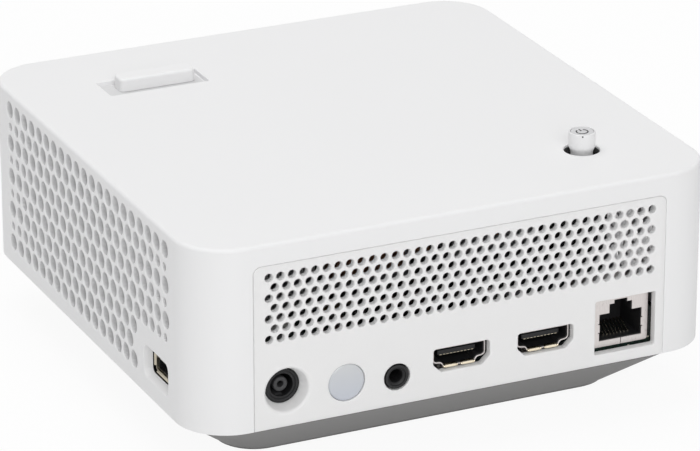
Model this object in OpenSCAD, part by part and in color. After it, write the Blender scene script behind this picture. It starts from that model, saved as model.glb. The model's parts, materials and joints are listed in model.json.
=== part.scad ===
// Compact square LED projector, built as it comes apart on a bench.
// +Z is up, +Y is the way the lens looks, and the ports are on the -Y side.
// The origin is under the middle of the case, on the surface that it stands on.

/* [Case] */
// Width of the case, side to side
case_w = 148; // [146:1:160]
// Depth of the case, front to rear
case_d = 148; // [146:1:160]
// Height of the top face above the table
case_h = 66.5; // [65:0.5:72]
// Height of the white shell's lower edge
shell_z = 16.2; // [15.8:0.1:17]
// Radius of the shell's upright corners
corner_r = 14; // [13:0.5:16]
// Thickness of the side walls
wall = 2.2; // [2:0.1:2.5]
// Thickness of the top
top_t = 2.2; // [2:0.1:2.5]
// Radius of the soft edge round the top
edge_r = 1; // [0.6:0.1:1.4]
// Clearance in the seams between case parts
seam = 0.15; // [0.1:0.05:0.25]

/* [Base] */
// Gap between the base's underside and the table
foot_rise = 0.8; // [0.6:0.1:1.2]
// How far the base draws in at each side
base_inset_x = 18.2; // [17:0.2:19]
// How far the base draws in at the front and rear
base_inset_y = 19.7; // [18.5:0.2:20.5]
// Corner radius of the base at its upper edge
base_top_r = 20; // [18:0.5:22]
// Corner radius of the base at its underside
base_foot_r = 10.6; // [9:0.2:13]
// How far the base's upper edge stands back under the shell
base_lip = 0.55; // [0.4:0.05:0.8]
// Thickness of the base
base_t = 2.4; // [2:0.1:2.8]
// Height of the rim that locates the shell
rim_h = 1.8; // [1.2:0.2:2]
// Radius of a rubber foot
foot_r = 6; // [5:0.25:6.5]
// Distance of the feet from the middle, side to side
foot_x = 45; // [43:0.5:46]
// Distance of the feet from the middle, front to rear
foot_y = 44; // [43:0.5:45]
// Radius of the case screws' clearance holes
screw_hole_r = 1.6; // [1.5:0.05:1.8]
// Radius of the case screws' threads
screw_r = 1.25; // [1.1:0.05:1.35]
// Tapping radius of the quarter-inch tripod thread
tripod_r = 2.55; // [2.5:0.05:2.7]
// Depth of the tripod thread
tripod_len = 7; // [6:0.5:9]

/* [Side vents] */
// Radius of a full side vent hole
side_vent_r = 2.3; // [2:0.05:2.4]
// Spacing of the holes along a row
side_pitch = 5.43; // [5.3:0.01:5.5]
// Spacing of the rows
side_row = 4.84; // [4.7:0.02:4.9]
// Height of the top row
side_top_z = 61.4; // [60.8:0.1:61.5]
// How much the holes draw together towards a row's ends
side_squeeze = 0.118; // [0.08:0.002:0.13]
// Share of its radius that the last hole of a graded row loses
side_fade = 0.47; // [0.4:0.01:0.65]

/* [Rear panel] */
// Half width of the rear panel
panel_half = 58.3; // [57:0.1:59]
// Height of the rear panel's upper edge
panel_top = 60.8; // [60:0.1:61.5]
// Radius of the rear panel's upper corners
panel_r = 2; // [1.5:0.1:3]
// Radius of a rear vent hole
rear_vent_r = 1.15; // [1:0.05:1.25]
// Spacing of the rear vent holes along a row
rear_pitch = 3.18; // [3.1:0.01:3.25]
// Spacing of the rear vent rows
rear_row = 2.8; // [2.6:0.05:2.85]
// Height of the top row of rear vents
rear_top_z = 57.5; // [57:0.1:58]
// thickness of the rear panel where it is pierced by the vents
vent_panel_t = 1.2; // [1:0.05:1.6]

/* [Ports] */
// Sideways place of the power inlet
dc_x = -49.2; // [-50:0.1:-48.5]
// Height of the power inlet
dc_z = 26; // [25.8:0.1:27]
// Bore of the power inlet
dc_bore_r = 3.15; // [3:0.05:3.3]
// radius of the hollow post inside the inlet
dc_post_r = 2.1; // [1.9:0.05:2.3]
// bore of the post, for the pin of the plug
dc_post_bore_r = 0.85; // [0.7:0.05:1]
// Radius of the rear infrared window
ir_r = 5.1; // [4.5:0.1:5.5]
// Sideways place of the rear infrared window
ir_x = -32.7; // [-34:0.1:-31]
// Sideways place of the headphone jack
phone_x = -18.6; // [-20:0.1:-17]
// Height of the headphone jack
phone_z = 23.9; // [23.8:0.1:25]
// Bore of the headphone jack
phone_bore_r = 1.8; // [1.75:0.05:1.85]
// Sideways place of the first video socket
video_x = -0.3; // [-2:0.1:2]
// Spacing of the two video sockets
video_gap = 24.1; // [20:0.1:25]
// Height of the video sockets
video_z = 26.2; // [25:0.1:28]
// Sideways place of the network socket
net_x = 47; // [45:0.1:48]
// Place of the USB socket along the left side
usb_y = -47.5; // [-49:0.1:-46]
// Height of the USB socket
usb_z = 25.5; // [25:0.1:26.5]

/* [Lens] */
// Sideways place of the lens axis
lens_x = -35.5; // [-36.5:0.1:-34.5]
// Height of the lens axis
lens_z = 38; // [37.5:0.1:38.5]
// Bore of the barrel that guides the sliding cell
barrel_bore_r = 12.2; // [11.8:0.1:12.4]
// Outer radius of the barrel under the focus ring
barrel_r = 15; // [14.6:0.1:15.2]
// Running clearance in the lens, the fans and the button
run = 0.08; // [0.05:0.01:0.1]
// Radius of the opening in the front wall
front_hole_r = 17; // [16.5:0.1:18]

/* [Focus lever] */
// Length of the lever's recess in the top
slot_l = 28.7; // [28:0.1:30]
// Depth of the lever's recess
slot_depth = 1.3; // [1.1:0.05:1.4]
// Width of the lever's recess
slot_w = 10.9; // [10:0.1:12]
// Distance of the recess in front of the middle
slot_y = 45.5; // [45:0.1:46]
// Width of the lever's tab
tab_w = 21.9; // [21:0.1:22.4]
// Depth of the lever's tab, front to rear
tab_d = 5.8; // [5:0.1:6.4]
// Place of the tab in its recess, to the right of the lens axis
tab_x = 1.15; // [1:0.05:1.2]
// Place of the tab in its recess, in front of the ring's middle
tab_y = 1.7; // [1.5:0.1:2]
// Height of the tab above the top face
tab_h = 2.4; // [2:0.1:3]
// Turn of the focus ring to each side
focus_deg = 7.5; // [6:0.1:7.5]
// Slide of the lens cell to each side
cell_move = 1.2; // [1:0.05:1.3]

/* [Button] */
// Sideways place of the joystick button
button_x = 46.7; // [45.5:0.1:47.2]
// Distance of the joystick button behind the middle
button_y = 48.6; // [48:0.1:50]
// Radius of the button's hole in the top
button_hole_r = 4.75; // [4.65:0.05:5]
// Radius of the button
button_r = 3.65; // [3.4:0.05:3.7]
// Height of the button above the top face
button_h = 5.1; // [4.5:0.1:6]

/* [Inside] */
// Height of the main board's underside
board_z = 18.4; // [18.3:0.1:18.8]
// Thickness of the main board
board_t = 1.6; // [1.2:0.1:1.8]
// Wall of the optical engine's housing
engine_t = 2; // [1.6:0.1:2.4]
// Height of the optical engine
engine_h = 32; // [30:0.5:33]
// Side of the cooling fans' square frames
fan_side = 40; // [38:0.5:41]
// Depth of the right fan
right_fan_t = 15; // [14:0.5:15]
// Depth of the left fan
left_fan_t = 10; // [9:0.5:10]
// Radius of the heat pipes
pipe_r = 2.5; // [2.2:0.1:2.8]
// Thickness of a cooling fin
fin_t = 0.5; // [0.4:0.05:0.7]
// Spacing of the cooling fins
fin_pitch = 2; // [1.8:0.05:2.1]
// Radius of the speaker cones
cone_r = 12.9; // [12:0.1:13]
// Depth of the speaker boxes
box_t = 12; // [11.5:0.5:12]

/* [Hidden] */
$fn = 48;
cut = 1;                                  // how far a cutting shape runs past a face
touch = 0.02;                             // clearance of pieces that seat on each other

// Faces of the case
front_y = case_d / 2;
rear_y = -front_y;
right_x = case_w / 2;
inner_x = right_x - wall;
inner_front = front_y - wall;
inner_rear = -inner_front;
ceiling = case_h - top_t;
floor_z = foot_rise + base_t;

// Screws that hold the base to the shell, each [x, y]
screw_rear_y = -34;
screw_front_y = 33;
screw_x = 47;
screw_spots = [[screw_x, screw_front_y], [screw_x, screw_rear_y], [-screw_x, screw_rear_y],
               [-10, screw_front_y]];
boss_r = 3.5;
head_r = 2.9;
head_t = 2;
boss_meet = 17;                           // height at which the shell's and base's bosses meet

// Main board
board_top = board_z + board_t;
board_half = right_x - 8;
board_rear = rear_y + 3.8;
board_front = -20;
board_spots = [[30, -28], [-14, -28], [30, -50], [-34, -50]];

// Lens
engine_y1 = 20;
engine_y0 = -14;
engine_x0 = lens_x - 24.5;
engine_x1 = 14;
engine_z0 = lens_z - engine_h / 2;
engine_z1 = engine_z0 + engine_h;
cover_t = 2;
barrel_front = inner_front - 8;
ring_half = 7;                            // half width of the focus ring along the axis
ring_r = barrel_r + 2.5;
pad_r = ring_r + 1.2;
drive_r = 22.5;                           // radius of the ball that drives the lever
ball_r = 1.5;
neck_w = 8;
neck_t = 3;
neck_y = slot_y + 2;
keeper_w = 19.2;
cell_r = barrel_bore_r - run;
cell_back = slot_y - 6;
cell_front = barrel_front - cell_move - 0.6;
pin_r = 1;
pin_angles = [30, 150, 270];

// Light sources and cooling
light_y = (engine_y0 + engine_y1) / 2;    // the middle of the light path
led_x = -2;                               // the red and blue light comes in here
led_t = 1.6;
spread_t = 2 * pipe_r + 2;
pipe_a_x = engine_x1 + led_t + spread_t / 2;
pipe_b_y = engine_y0 - led_t - spread_t / 2;
pipe_a_z = lens_z - 6;
pipe_b_z = lens_z + 8;
fan_y = 2;
fan_z = 40;
fin_x0 = 28;
fin_x1 = inner_x - right_fan_t - 2.8;
fin_mid = (fin_x0 + fin_x1) / 2;
fin_count = 13;
fin_y0 = engine_y0 + 3;
fin_y1 = fin_y0 + (fin_count - 1) * fin_pitch + fin_t;
fin_z0 = 25;
fin_z1 = 57;

// Speakers
speaker_y0 = fan_y + fan_side / 2 + 4;
speaker_y1 = speaker_y0 + 32;
speaker_z0 = 24;
speaker_z1 = 58;
speaker_y = (speaker_y0 + speaker_y1) / 2;
speaker_z = (speaker_z0 + speaker_z1) / 2;
box_gap = 1.2;                            // from the side wall to the speaker's face

// Button switch: the middle of its tilt is at joy_z
joy_z = case_h - 9.5;
joy_board_z = joy_z - 5;
joy_board_t = 1.2;
joy_floor = joy_board_z + joy_board_t;

// A rectangle with round corners, centred
module rounded_rect(w, d, r) {
    square([w - 2 * r, d], center = true);
    square([w, d - 2 * r], center = true);
    for (sx = [-1, 1], sy = [-1, 1])
        translate([sx * (w / 2 - r), sy * (d / 2 - r)]) circle(r);
}

// An upright block with round corners from z0 to z1
module slab(w, d, r, z0, z1) {
    translate([0, 0, z0]) linear_extrude(z1 - z0) rounded_rect(w, d, r);
}

// A plain block given by its faces
module block(x0, x1, y0, y1, z0, z1) {
    translate([x0, y0, z0]) cube([x1 - x0, y1 - y0, z1 - z0]);
}

// A profile drawn in X and Z, run along Y from y0 to y1
module along_y(y0, y1) {
    translate([0, y1, 0]) rotate([90, 0, 0]) linear_extrude(y1 - y0) children();
}

// A profile drawn in Y and Z, run along X from x0 to x1
module along_x(x0, x1) {
    translate([x0, 0, 0]) rotate([90, 0, 90]) linear_extrude(x1 - x0) children();
}

module rod_x(y, z, x0, x1, r) {
    translate([x0, y, z]) rotate([0, 90, 0]) cylinder(h = x1 - x0, r = r);
}

module rod_y(x, z, y0, y1, r) {
    translate([x, y0, z]) rotate([-90, 0, 0]) cylinder(h = y1 - y0, r = r);
}

module rod_z(x, y, z0, z1, r) {
    translate([x, y, z0]) cylinder(h = z1 - z0, r = r);
}

// A cone along Y from radius ra at y0 to rb at y1
module cone_y(x, z, y0, y1, ra, rb) {
    translate([x, y0, z]) rotate([-90, 0, 0]) cylinder(h = y1 - y0, r1 = ra, r2 = rb);
}

// Half of the shell's section, with its soft upper edge: out to half, up to case_h
module soft_profile(half) {
    translate([0, shell_z]) square([half, case_h - edge_r - shell_z]);
    translate([0, shell_z]) square([half - edge_r, case_h - shell_z]);
    translate([half - edge_r, case_h - edge_r]) circle(edge_r);
}

// The outside of the shell: two crossing runs of the section and four turned corners
module shell_outside() {
    run_x = case_w - 2 * corner_r;
    run_y = case_d - 2 * corner_r;
    along_y(-run_y / 2, run_y / 2) {
        soft_profile(right_x);
        mirror([1, 0]) soft_profile(right_x);
    }
    along_x(-run_x / 2, run_x / 2) {
        soft_profile(front_y);
        mirror([1, 0]) soft_profile(front_y);
    }
    for (sx = [-1, 1], sy = [-1, 1])
        translate([sx * run_x / 2, sy * run_y / 2, 0]) rotate_extrude() soft_profile(corner_r);
}

// Holes of one side wall, drawn in Y and Z: even rows are full, odd rows fade at their ends.
// clear_y is where the three lowest rows stop, to leave room for a socket.
module side_vents(clear_y) {
    full = 6;                             // full holes on each side of an odd row's middle
    graded = 5;
    for (k = [0:8]) {
        z = side_top_z - k * side_row;
        low = k > 5;
        if (k % 2 == 0) {
            for (i = [-10:10])
                if (!low || i * side_pitch - side_vent_r > clear_y)
                    translate([i * side_pitch, z]) circle(side_vent_r);
        } else {
            for (side = [-1, 1], i = [0:full + graded - 1]) {
                j = max(0, i - full + 1);
                y = side * ((i + 0.5) * side_pitch - side_squeeze * j * j);
                r = side_vent_r * (1 - side_fade * pow(j / graded, 2));
                if (!low || y - r > clear_y) translate([y, z]) circle(r);
            }
        }
    }
}

// Outline of the rear panel in X and Z, grown by g and starting at z0
module panel_outline(g, z0) {
    half = panel_half + g;
    top = panel_top + g;
    translate([-half, z0]) square([2 * half, top - panel_r - z0]);
    translate([-half + panel_r, z0]) square([2 * (half - panel_r), top - z0]);
    for (s = [-1, 1]) translate([s * (half - panel_r), top - panel_r]) circle(panel_r);
}

// Tapered mouth round the USB socket in the left wall
usb_mouth_w = 16;
usb_mouth_h = 9;
usb_throat_w = 14.4;
usb_throat_h = 7;
module usb_mouth() {
    hull() {
        translate([-right_x - cut, usb_y - usb_mouth_w / 2, usb_z - usb_mouth_h / 2])
            cube([cut, usb_mouth_w, usb_mouth_h]);
        translate([-inner_x, usb_y - usb_throat_w / 2, usb_z - usb_throat_h / 2])
            cube([cut, usb_throat_w, usb_throat_h]);
    }
}

front_ir_x = 20;
front_ir_z = 30;
front_ir_r = 4;
module upper_shell() {
    color([0.93, 0.93, 0.93]) {
        difference() {
            shell_outside();
            slab(case_w - 2 * wall, case_d - 2 * wall, corner_r - wall, shell_z - cut, ceiling);
            along_y(rear_y - cut, inner_rear + cut) panel_outline(0, shell_z - cut);
            along_x(-right_x - cut, -inner_x + cut) side_vents(usb_y + usb_mouth_w / 2 + 4);
            along_x(inner_x - cut, right_x + cut) side_vents(-case_d);
            usb_mouth();
            // recess of the focus lever, and the slot for its neck
            translate([lens_x - slot_l / 2, slot_y - slot_w / 2, case_h - slot_depth])
                cube([slot_l, slot_w, slot_depth + cut]);
            block(lens_x - neck_w / 2 - 3.2, lens_x + neck_w / 2 + 2.3, neck_y - neck_t / 2 - 0.25,
                  neck_y + neck_t / 2 + 0.25, ceiling - cut, case_h - slot_depth + cut);
            rod_z(button_x, -button_y, ceiling - cut, case_h + cut, button_hole_r);
            rod_y(lens_x, lens_z, inner_front - cut, front_y + cut, front_hole_r);
            rod_y(front_ir_x, front_ir_z, inner_front - cut, front_y + cut, front_ir_r);
        }
        // bosses that the case screws bite into
        for (p = screw_spots) difference() {
            rod_z(p[0], p[1], boss_meet, ceiling, boss_r);
            rod_z(p[0], p[1], boss_meet - cut, boss_meet + 14, screw_r + touch);
        }
        // posts that carry the button's board
        for (s = [-1, 1]) difference() {
            rod_z(button_x + s * 8, -button_y, joy_floor, ceiling, 2);
            rod_z(button_x + s * 8, -button_y, joy_floor - cut, joy_floor + 6, 0.8 + touch);
        }
    }
}

module hdmi_outline(w, h) {
    chamfer = h / 3;
    polygon([[-w / 2, h / 2], [w / 2, h / 2], [w / 2, -h / 2 + chamfer],
             [w / 2 - chamfer, -h / 2], [-w / 2 + chamfer, -h / 2], [-w / 2, -h / 2 + chamfer]]);
}

net_w = 16;
net_h = 13.5;
net_z = board_top + net_h / 2;
video_w = 15;
video_h = 5.5;
phone_nose_r = 3.5;
dc_rim_r = 6.4;
dc_mouth_r = 5.5;
dc_throat_r = 4.8;
dc_depth = 3.4;                           // from the panel's face to the inlet's face
module rear_panel() {
    color([0.91, 0.91, 0.92]) difference() {
        union() {
            along_y(rear_y, inner_rear) panel_outline(-seam, shell_z);
            // flange behind the shell's rear wall, on the sides and along the top
            along_y(inner_rear, inner_rear + 1.2) difference() {
                panel_outline(1.5, shell_z + rim_h + 0.4);
                panel_outline(-2, shell_z);
            }
            // collar round the power inlet
            rod_y(dc_x, dc_z, inner_rear - 0.1, rear_y + dc_depth + 0.2, dc_mouth_r + 1.2);
        }
        along_y(rear_y - cut, inner_rear + cut) {
            for (k = [0:6]) {
                half = (k % 2 == 0) ? 17 : 16.5;
                for (i = [-half:half])
                    translate([i * rear_pitch, rear_top_z - k * rear_row]) circle(rear_vent_r);
            }
            translate([phone_x, phone_z]) circle(phone_nose_r + seam);
            for (i = [0, 1]) translate([video_x + i * video_gap, video_z])
                hdmi_outline(video_w + 1.1, video_h + 1);
            translate([net_x, net_z]) square([net_w + 1.6, net_h + 1.5], center = true);
            translate([ir_x, dc_z - 1]) circle(ir_r);
        }
        cone_y(dc_x, dc_z, rear_y - 0.001, rear_y + 0.45, dc_rim_r, dc_mouth_r);
        cone_y(dc_x, dc_z, rear_y + 0.449, rear_y + dc_depth + 0.201, dc_mouth_r, dc_throat_r);
        // the vented field is thinned from behind so that the short holes draw cleanly
        along_y(rear_y + vent_panel_t, inner_rear + 1.2 + cut) intersection() {
            panel_outline(-2, shell_z);
            translate([-case_w / 2, rear_top_z - 6 * rear_row - rear_vent_r - 0.65])
                square([case_w, case_h]);
        }
    }
}

// The base's outside: drawn in from the shell's lower edge to the flat underside
module base_hull(t) {
    hull() {
        slab(case_w - 2 * base_lip - 2 * t, case_d - 2 * base_lip - 2 * t, base_top_r - t,
             shell_z - 0.5, shell_z);
        slab(case_w - 2 * base_inset_x - 2 * t, case_d - 2 * base_inset_y - 2 * t,
             base_foot_r - min(t, base_foot_r - 2), foot_rise + t, foot_rise + t + 0.5);
    }
}

foot_recess = 1;
tripod_boss_r = 7;
module base_cover() {
    rim_w = case_w - 2 * wall - 2 * seam;
    rim_d = case_d - 2 * wall - 2 * seam;
    rim_r = base_top_r - wall;
    rim_t = 1.6;
    rib_z0 = shell_z - 3.4;
    color([0.47, 0.465, 0.46]) difference() {
        union() {
            difference() {
                union() {
                    base_hull(0);
                    slab(rim_w, rim_d, rim_r, shell_z, shell_z + rim_h);
                }
                base_hull(base_t);
                slab(rim_w - 2 * rim_t, rim_d - 2 * rim_t, rim_r - rim_t, shell_z - 0.6,
                     shell_z + rim_h + cut);
            }
            for (p = screw_spots) rod_z(p[0], p[1], foot_rise + 1, boss_meet, boss_r + 0.5);
            for (p = board_spots) rod_z(p[0], p[1], foot_rise + 1, board_z, 3);
            // posts under the optical engine
            for (x = [engine_x0 + 10, engine_x1 - 6], y = [engine_y0 + 5, engine_y1 - 5])
                rod_z(x, y, foot_rise + 1, engine_z0, 4);
            rod_z(0, 4, foot_rise + 0.5, floor_z + tripod_len, tripod_boss_r);
            for (sx = [-1, 1], sy = [-1, 1])
                rod_z(sx * foot_x, sy * foot_y, foot_rise + 0.5, floor_z + 0.6, foot_r + 1.2);
            // ribs that carry the fans and the speakers, one pair at each side
            for (s = [-1, 1]) {
                fan_t = s > 0 ? right_fan_t : left_fan_t;
                for (y = [fan_y - fan_side / 2 + 3, fan_y + fan_side / 2 - 3])
                    block(s > 0 ? inner_x - 0.4 - fan_t : -inner_x + 2.6,
                          s > 0 ? inner_x - 2.6 : -inner_x + 0.4 + fan_t,
                          y - 1.2, y + 1.2, rib_z0, fan_z - fan_side / 2);
                for (y = [speaker_y0 + 4, speaker_y1 - 6])
                    block(s > 0 ? inner_x - box_gap - box_t : -inner_x + 2.6,
                          s > 0 ? inner_x - 2.6 : -inner_x + box_gap + box_t,
                          y - 1.2, y + 1.2, rib_z0, speaker_z0);
            }
        }
        for (p = screw_spots) {
            rod_z(p[0], p[1], foot_rise - cut, foot_rise + head_t + 0.6, head_r + 0.3);
            rod_z(p[0], p[1], foot_rise - cut, boss_meet + cut, screw_hole_r);
        }
        for (p = board_spots) rod_z(p[0], p[1], board_z - 6, board_z + cut, 0.8 + touch);
        for (sx = [-1, 1], sy = [-1, 1])
            rod_z(sx * foot_x, sy * foot_y, foot_rise - cut, foot_rise + foot_recess, foot_r + 0.1);
        rod_z(0, 4, foot_rise - cut, floor_z + tripod_len + cut, tripod_boss_r - 2.2 + touch);
    }
}

module rubber_feet() {
    color([0.16, 0.16, 0.17]) for (sx = [-1, 1], sy = [-1, 1])
        translate([sx * foot_x, sy * foot_y, 0]) rotate_extrude() {
            square([foot_r - 0.5, foot_rise + foot_recess]);
            translate([0, 0.5]) square([foot_r, foot_rise + foot_recess - 0.5]);
            translate([foot_r - 0.5, 0.5]) circle(0.5);
        }
}

module tripod_insert() {
    color([0.78, 0.62, 0.32]) difference() {
        rod_z(0, 4, foot_rise, foot_rise + tripod_len, tripod_boss_r - 2.2);
        rod_z(0, 4, foot_rise - cut, foot_rise + tripod_len + cut, tripod_r);
    }
}

module case_screws() {
    seat = foot_rise + head_t + 0.6;
    color([0.3, 0.3, 0.32]) for (p = screw_spots) difference() {
        union() {
            rod_z(p[0], p[1], seat - head_t, seat, head_r);
            rod_z(p[0], p[1], seat - 0.1, boss_meet + 9, screw_r);
        }
        for (a = [0, 90]) translate([p[0], p[1], seat - head_t + 0.5]) rotate([0, 0, a])
            cube([3.2, 0.8, 1.2], center = true);
    }
}

// ---- Lens ----

module lens_bezel() {
    mouth_r = front_hole_r - 1.4;
    throat_r = barrel_bore_r + 0.8;
    color([0.1, 0.1, 0.11]) difference() {
        union() {
            rod_y(lens_x, lens_z, barrel_front + 0.3, front_y - 0.3, front_hole_r - seam);
            rod_y(lens_x, lens_z, inner_front - 1.2, inner_front, front_hole_r + 2);
        }
        cone_y(lens_x, lens_z, barrel_front + 2, front_y - 0.29, throat_r, mouth_r);
        rod_y(lens_x, lens_z, barrel_front - cut, barrel_front + 2.01, throat_r);
        // steps that catch stray light
        for (i = [0:3]) rod_y(lens_x, lens_z, barrel_front + 2.6 + i * 1.7,
                              barrel_front + 3.2 + i * 1.7, throat_r + 0.9 + i * 0.42);
    }
}

module front_ir_window() {
    color([0.12, 0.05, 0.07]) {
        rod_y(front_ir_x, front_ir_z, inner_front - 0.1, front_y, front_ir_r - seam);
        rod_y(front_ir_x, front_ir_z, inner_front - 1.3, inner_front, front_ir_r + 1.2);
    }
}

module rear_ir_window() {
    color([0.79, 0.8, 0.84]) {
        rod_y(ir_x, dc_z - 1, rear_y, inner_rear + 0.1, ir_r - 0.1);
        rod_y(ir_x, dc_z - 1, inner_rear, inner_rear + 1, ir_r + 1);
    }
}

shoulder_r = ring_r + 0.3;
module lens_barrel() {
    ring_y0 = slot_y - ring_half - run;
    groove_y = slot_y + ring_half + run;
    rear_bore = barrel_bore_r - 3;
    color([0.13, 0.13, 0.14]) difference() {
        union() {
            rod_y(lens_x, lens_z, engine_y1, barrel_front, barrel_r);
            rod_y(lens_x, lens_z, ring_y0 - 5, ring_y0, shoulder_r);
            rod_y(lens_x, lens_z, engine_y1, engine_y1 + 3, shoulder_r);
            for (x = [-1, 1], z = [-1, 1])
                rod_y(lens_x + x * (shoulder_r - 1.5) * cos(45), lens_z + z * (shoulder_r - 1.5) * cos(45),
                      engine_y1, engine_y1 + 3, 3.4);
            // ribs between the flange and the shoulder
            for (a = [0:60:300]) translate([lens_x, 0, lens_z]) rotate([0, a, 0])
                block(barrel_r - 0.6, shoulder_r - 0.7, engine_y1 + 1.3, ring_y0 - 1.7, -0.8, 0.8);
        }
        rod_y(lens_x, lens_z, cell_back - cell_move - 1, barrel_front + cut, barrel_bore_r);
        rod_y(lens_x, lens_z, engine_y1 - cut, barrel_front, rear_bore);
        // straight slots that keep the cell from turning
        for (a = pin_angles) translate([lens_x, 0, lens_z]) rotate([0, -a, 0])
            block(rear_bore, ring_r + cut, slot_y - cell_move - pin_r - run,
                  slot_y + cell_move + pin_r + run, -pin_r - run, pin_r + run);
        // groove of the retaining clip
        difference() {
            rod_y(lens_x, lens_z, groove_y, groove_y + 1.2, ring_r + cut);
            rod_y(lens_x, lens_z, groove_y - cut, groove_y + 2, barrel_r - 0.8);
        }
        for (x = [-1, 1], z = [-1, 1])
            rod_y(lens_x + x * (shoulder_r + 0.2) * cos(45), lens_z + z * (shoulder_r + 0.2) * cos(45),
                  engine_y1 - cut, engine_y1 + 4, 1.3);
    }
}

// A round lens along Y, with spherical faces that bulge by front and back
module lens_y(y, r, edge, back, front) {
    function ball(s) = (r * r + s * s) / (2 * abs(s));
    translate([lens_x, y, lens_z]) rotate([-90, 0, 0]) rotate_extrude() intersection() {
        translate([0, -back]) square([r, edge + back + front]);
        translate([0, ball(back) - back]) circle(ball(back), $fn = 360);
        translate([0, edge + front - ball(front)]) circle(ball(front), $fn = 360);
    }
}

module rear_lenses() {
    r = barrel_bore_r - 3 - touch;
    color([0.75, 0.85, 0.88, 0.5]) {
        lens_y(engine_y1 + 4, r, 1.6, 1.2, 1.6);
        lens_y(engine_y1 + 9.5, r, 1.4, 1.1, 0.9);
    }
}

module ring_clip() {
    y = slot_y + ring_half + run;
    color([0.6, 0.6, 0.62]) difference() {
        rod_y(lens_x, lens_z, y + touch, y + 1.2 - touch, ring_r - 0.6);
        rod_y(lens_x, lens_z, y - cut, y + 2, barrel_r - 0.8 + touch);
        translate([lens_x, y, lens_z]) block(-2.5, 2.5, -cut, 2, -ring_r, 0);
    }
}

module focus_ring() {
    // the slot follows the pin's path, drawn flat at the ring's mean radius
    reach = ring_r * sin(focus_deg + 0.4);
    rise = reach * cell_move / ((barrel_r + ring_r) / 2 * sin(focus_deg));
    tilt = atan2(rise, reach);
    color([0.2, 0.2, 0.21]) difference() {
        union() {
            rod_y(lens_x, lens_z, slot_y - ring_half, slot_y + ring_half, ring_r);
            translate([lens_x, slot_y, lens_z]) block(-7.5, 7.5, -4, 4, barrel_r + 0.5, pad_r);
            // stud with the ball that drives the lever
            rod_z(lens_x, slot_y, lens_z + pad_r - 0.5, lens_z + drive_r, 1);
            translate([lens_x, slot_y, lens_z + drive_r]) sphere(ball_r);
            // grip ribs round the ring, left out where the slots are
            for (a = [40:20:320]) if ((a - 60) % 120 != 0)
                translate([lens_x, slot_y, lens_z]) rotate([0, a, 0])
                    block(-0.6, 0.6, 0.6 - ring_half, ring_half - 0.6, ring_r - 0.5, ring_r + 0.5);
        }
        rod_y(lens_x, lens_z, slot_y - ring_half - cut, slot_y + ring_half + cut, barrel_r + run);
        // slanted slots that drive the cell's pins
        for (a = pin_angles) translate([lens_x, slot_y, lens_z]) rotate([0, -a, 0])
            rotate([0, 90, 0]) translate([0, 0, barrel_r - 1]) linear_extrude(6)
                polygon([for (s = [1, -1]) for (i = [0:6])
                    s * [reach, rise] + (pin_r + 0.2) * s * [cos(tilt - 90 + 30 * i),
                                                             sin(tilt - 90 + 30 * i)]]);
    }
}

// The tab in its recess, the neck through the top, the keeper plate below it, and the fork that
// the focus ring's ball moves
module focus_lever() {
    under = case_h - slot_depth + 0.1;
    tab_top = case_h + tab_h;
    soft = 0.6;
    x0 = lens_x + tab_x - tab_w / 2;
    y0 = slot_y + tab_y - tab_d / 2;
    color([0.92, 0.92, 0.93]) {
        along_y(y0, y0 + tab_d) {
            translate([x0, under]) square([tab_w, tab_top - soft - under]);
            translate([x0 + soft, under]) square([tab_w - 2 * soft, tab_top - under]);
            for (x = [x0 + soft, x0 + tab_w - soft]) translate([x, tab_top - soft]) circle(soft);
        }
        // neck, keeper plate below the top, and the fork that takes the ring's ball
        block(lens_x - neck_w / 2, lens_x + neck_w / 2, neck_y - neck_t / 2, neck_y + neck_t / 2,
              ceiling - 0.5, under + 0.5);
        block(lens_x - keeper_w / 2, lens_x + keeper_w / 2, slot_y - 2, neck_y + neck_t / 2 + 2,
              ceiling - 1.2, ceiling - 0.1);
        difference() {
            block(lens_x - 4, lens_x + 4, slot_y - 2, slot_y + 2, lens_z + pad_r + 1.5, ceiling - 1.1);
            block(lens_x - ball_r - run, lens_x + ball_r + run, slot_y - 3, slot_y + 3,
                  lens_z + pad_r, lens_z + drive_r + ball_r + 0.4);
        }
    }
}

module lens_cell() {
    color([0.15, 0.15, 0.16]) {
        difference() {
            rod_y(lens_x, lens_z, cell_back, cell_front, cell_r);
            rod_y(lens_x, lens_z, cell_back - cut, cell_front + cut, cell_r - 2.6);
            rod_y(lens_x, lens_z, slot_y + 4, cell_front + cut, cell_r - 1.4);
        }
        for (a = pin_angles) translate([lens_x, slot_y, lens_z]) rotate([0, -a, 0])
            rod_x(0, 0, cell_r - 1.6, ring_r - 0.3, pin_r);
    }
}

module front_lenses() {
    color([0.75, 0.85, 0.88, 0.5]) {
        lens_y(slot_y + 4.3, cell_r - 1.4 - touch, 1.6, 1.4, 1.2);
        lens_y(cell_front - 5.4, cell_r - 1.4 - touch, 2, 1, 2.6);
    }
    // spacer and retaining ring that hold the two lenses
    color([0.15, 0.15, 0.16]) {
        difference() {
            rod_y(lens_x, lens_z, slot_y + 5.9 + touch, cell_front - 5.4 - touch,
                  cell_r - 1.4 - touch);
            rod_y(lens_x, lens_z, slot_y + 5, cell_front - 5, cell_r - 2.6);
        }
        difference() {
            rod_y(lens_x, lens_z, cell_front - 3.4 + touch, cell_front - 1.8,
                  cell_r - 1.4 - touch);
            rod_y(lens_x, lens_z, cell_front - 4, cell_front - 1, cell_r - 2.6);
        }
    }
}

// ---- Optical engine ----

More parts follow.
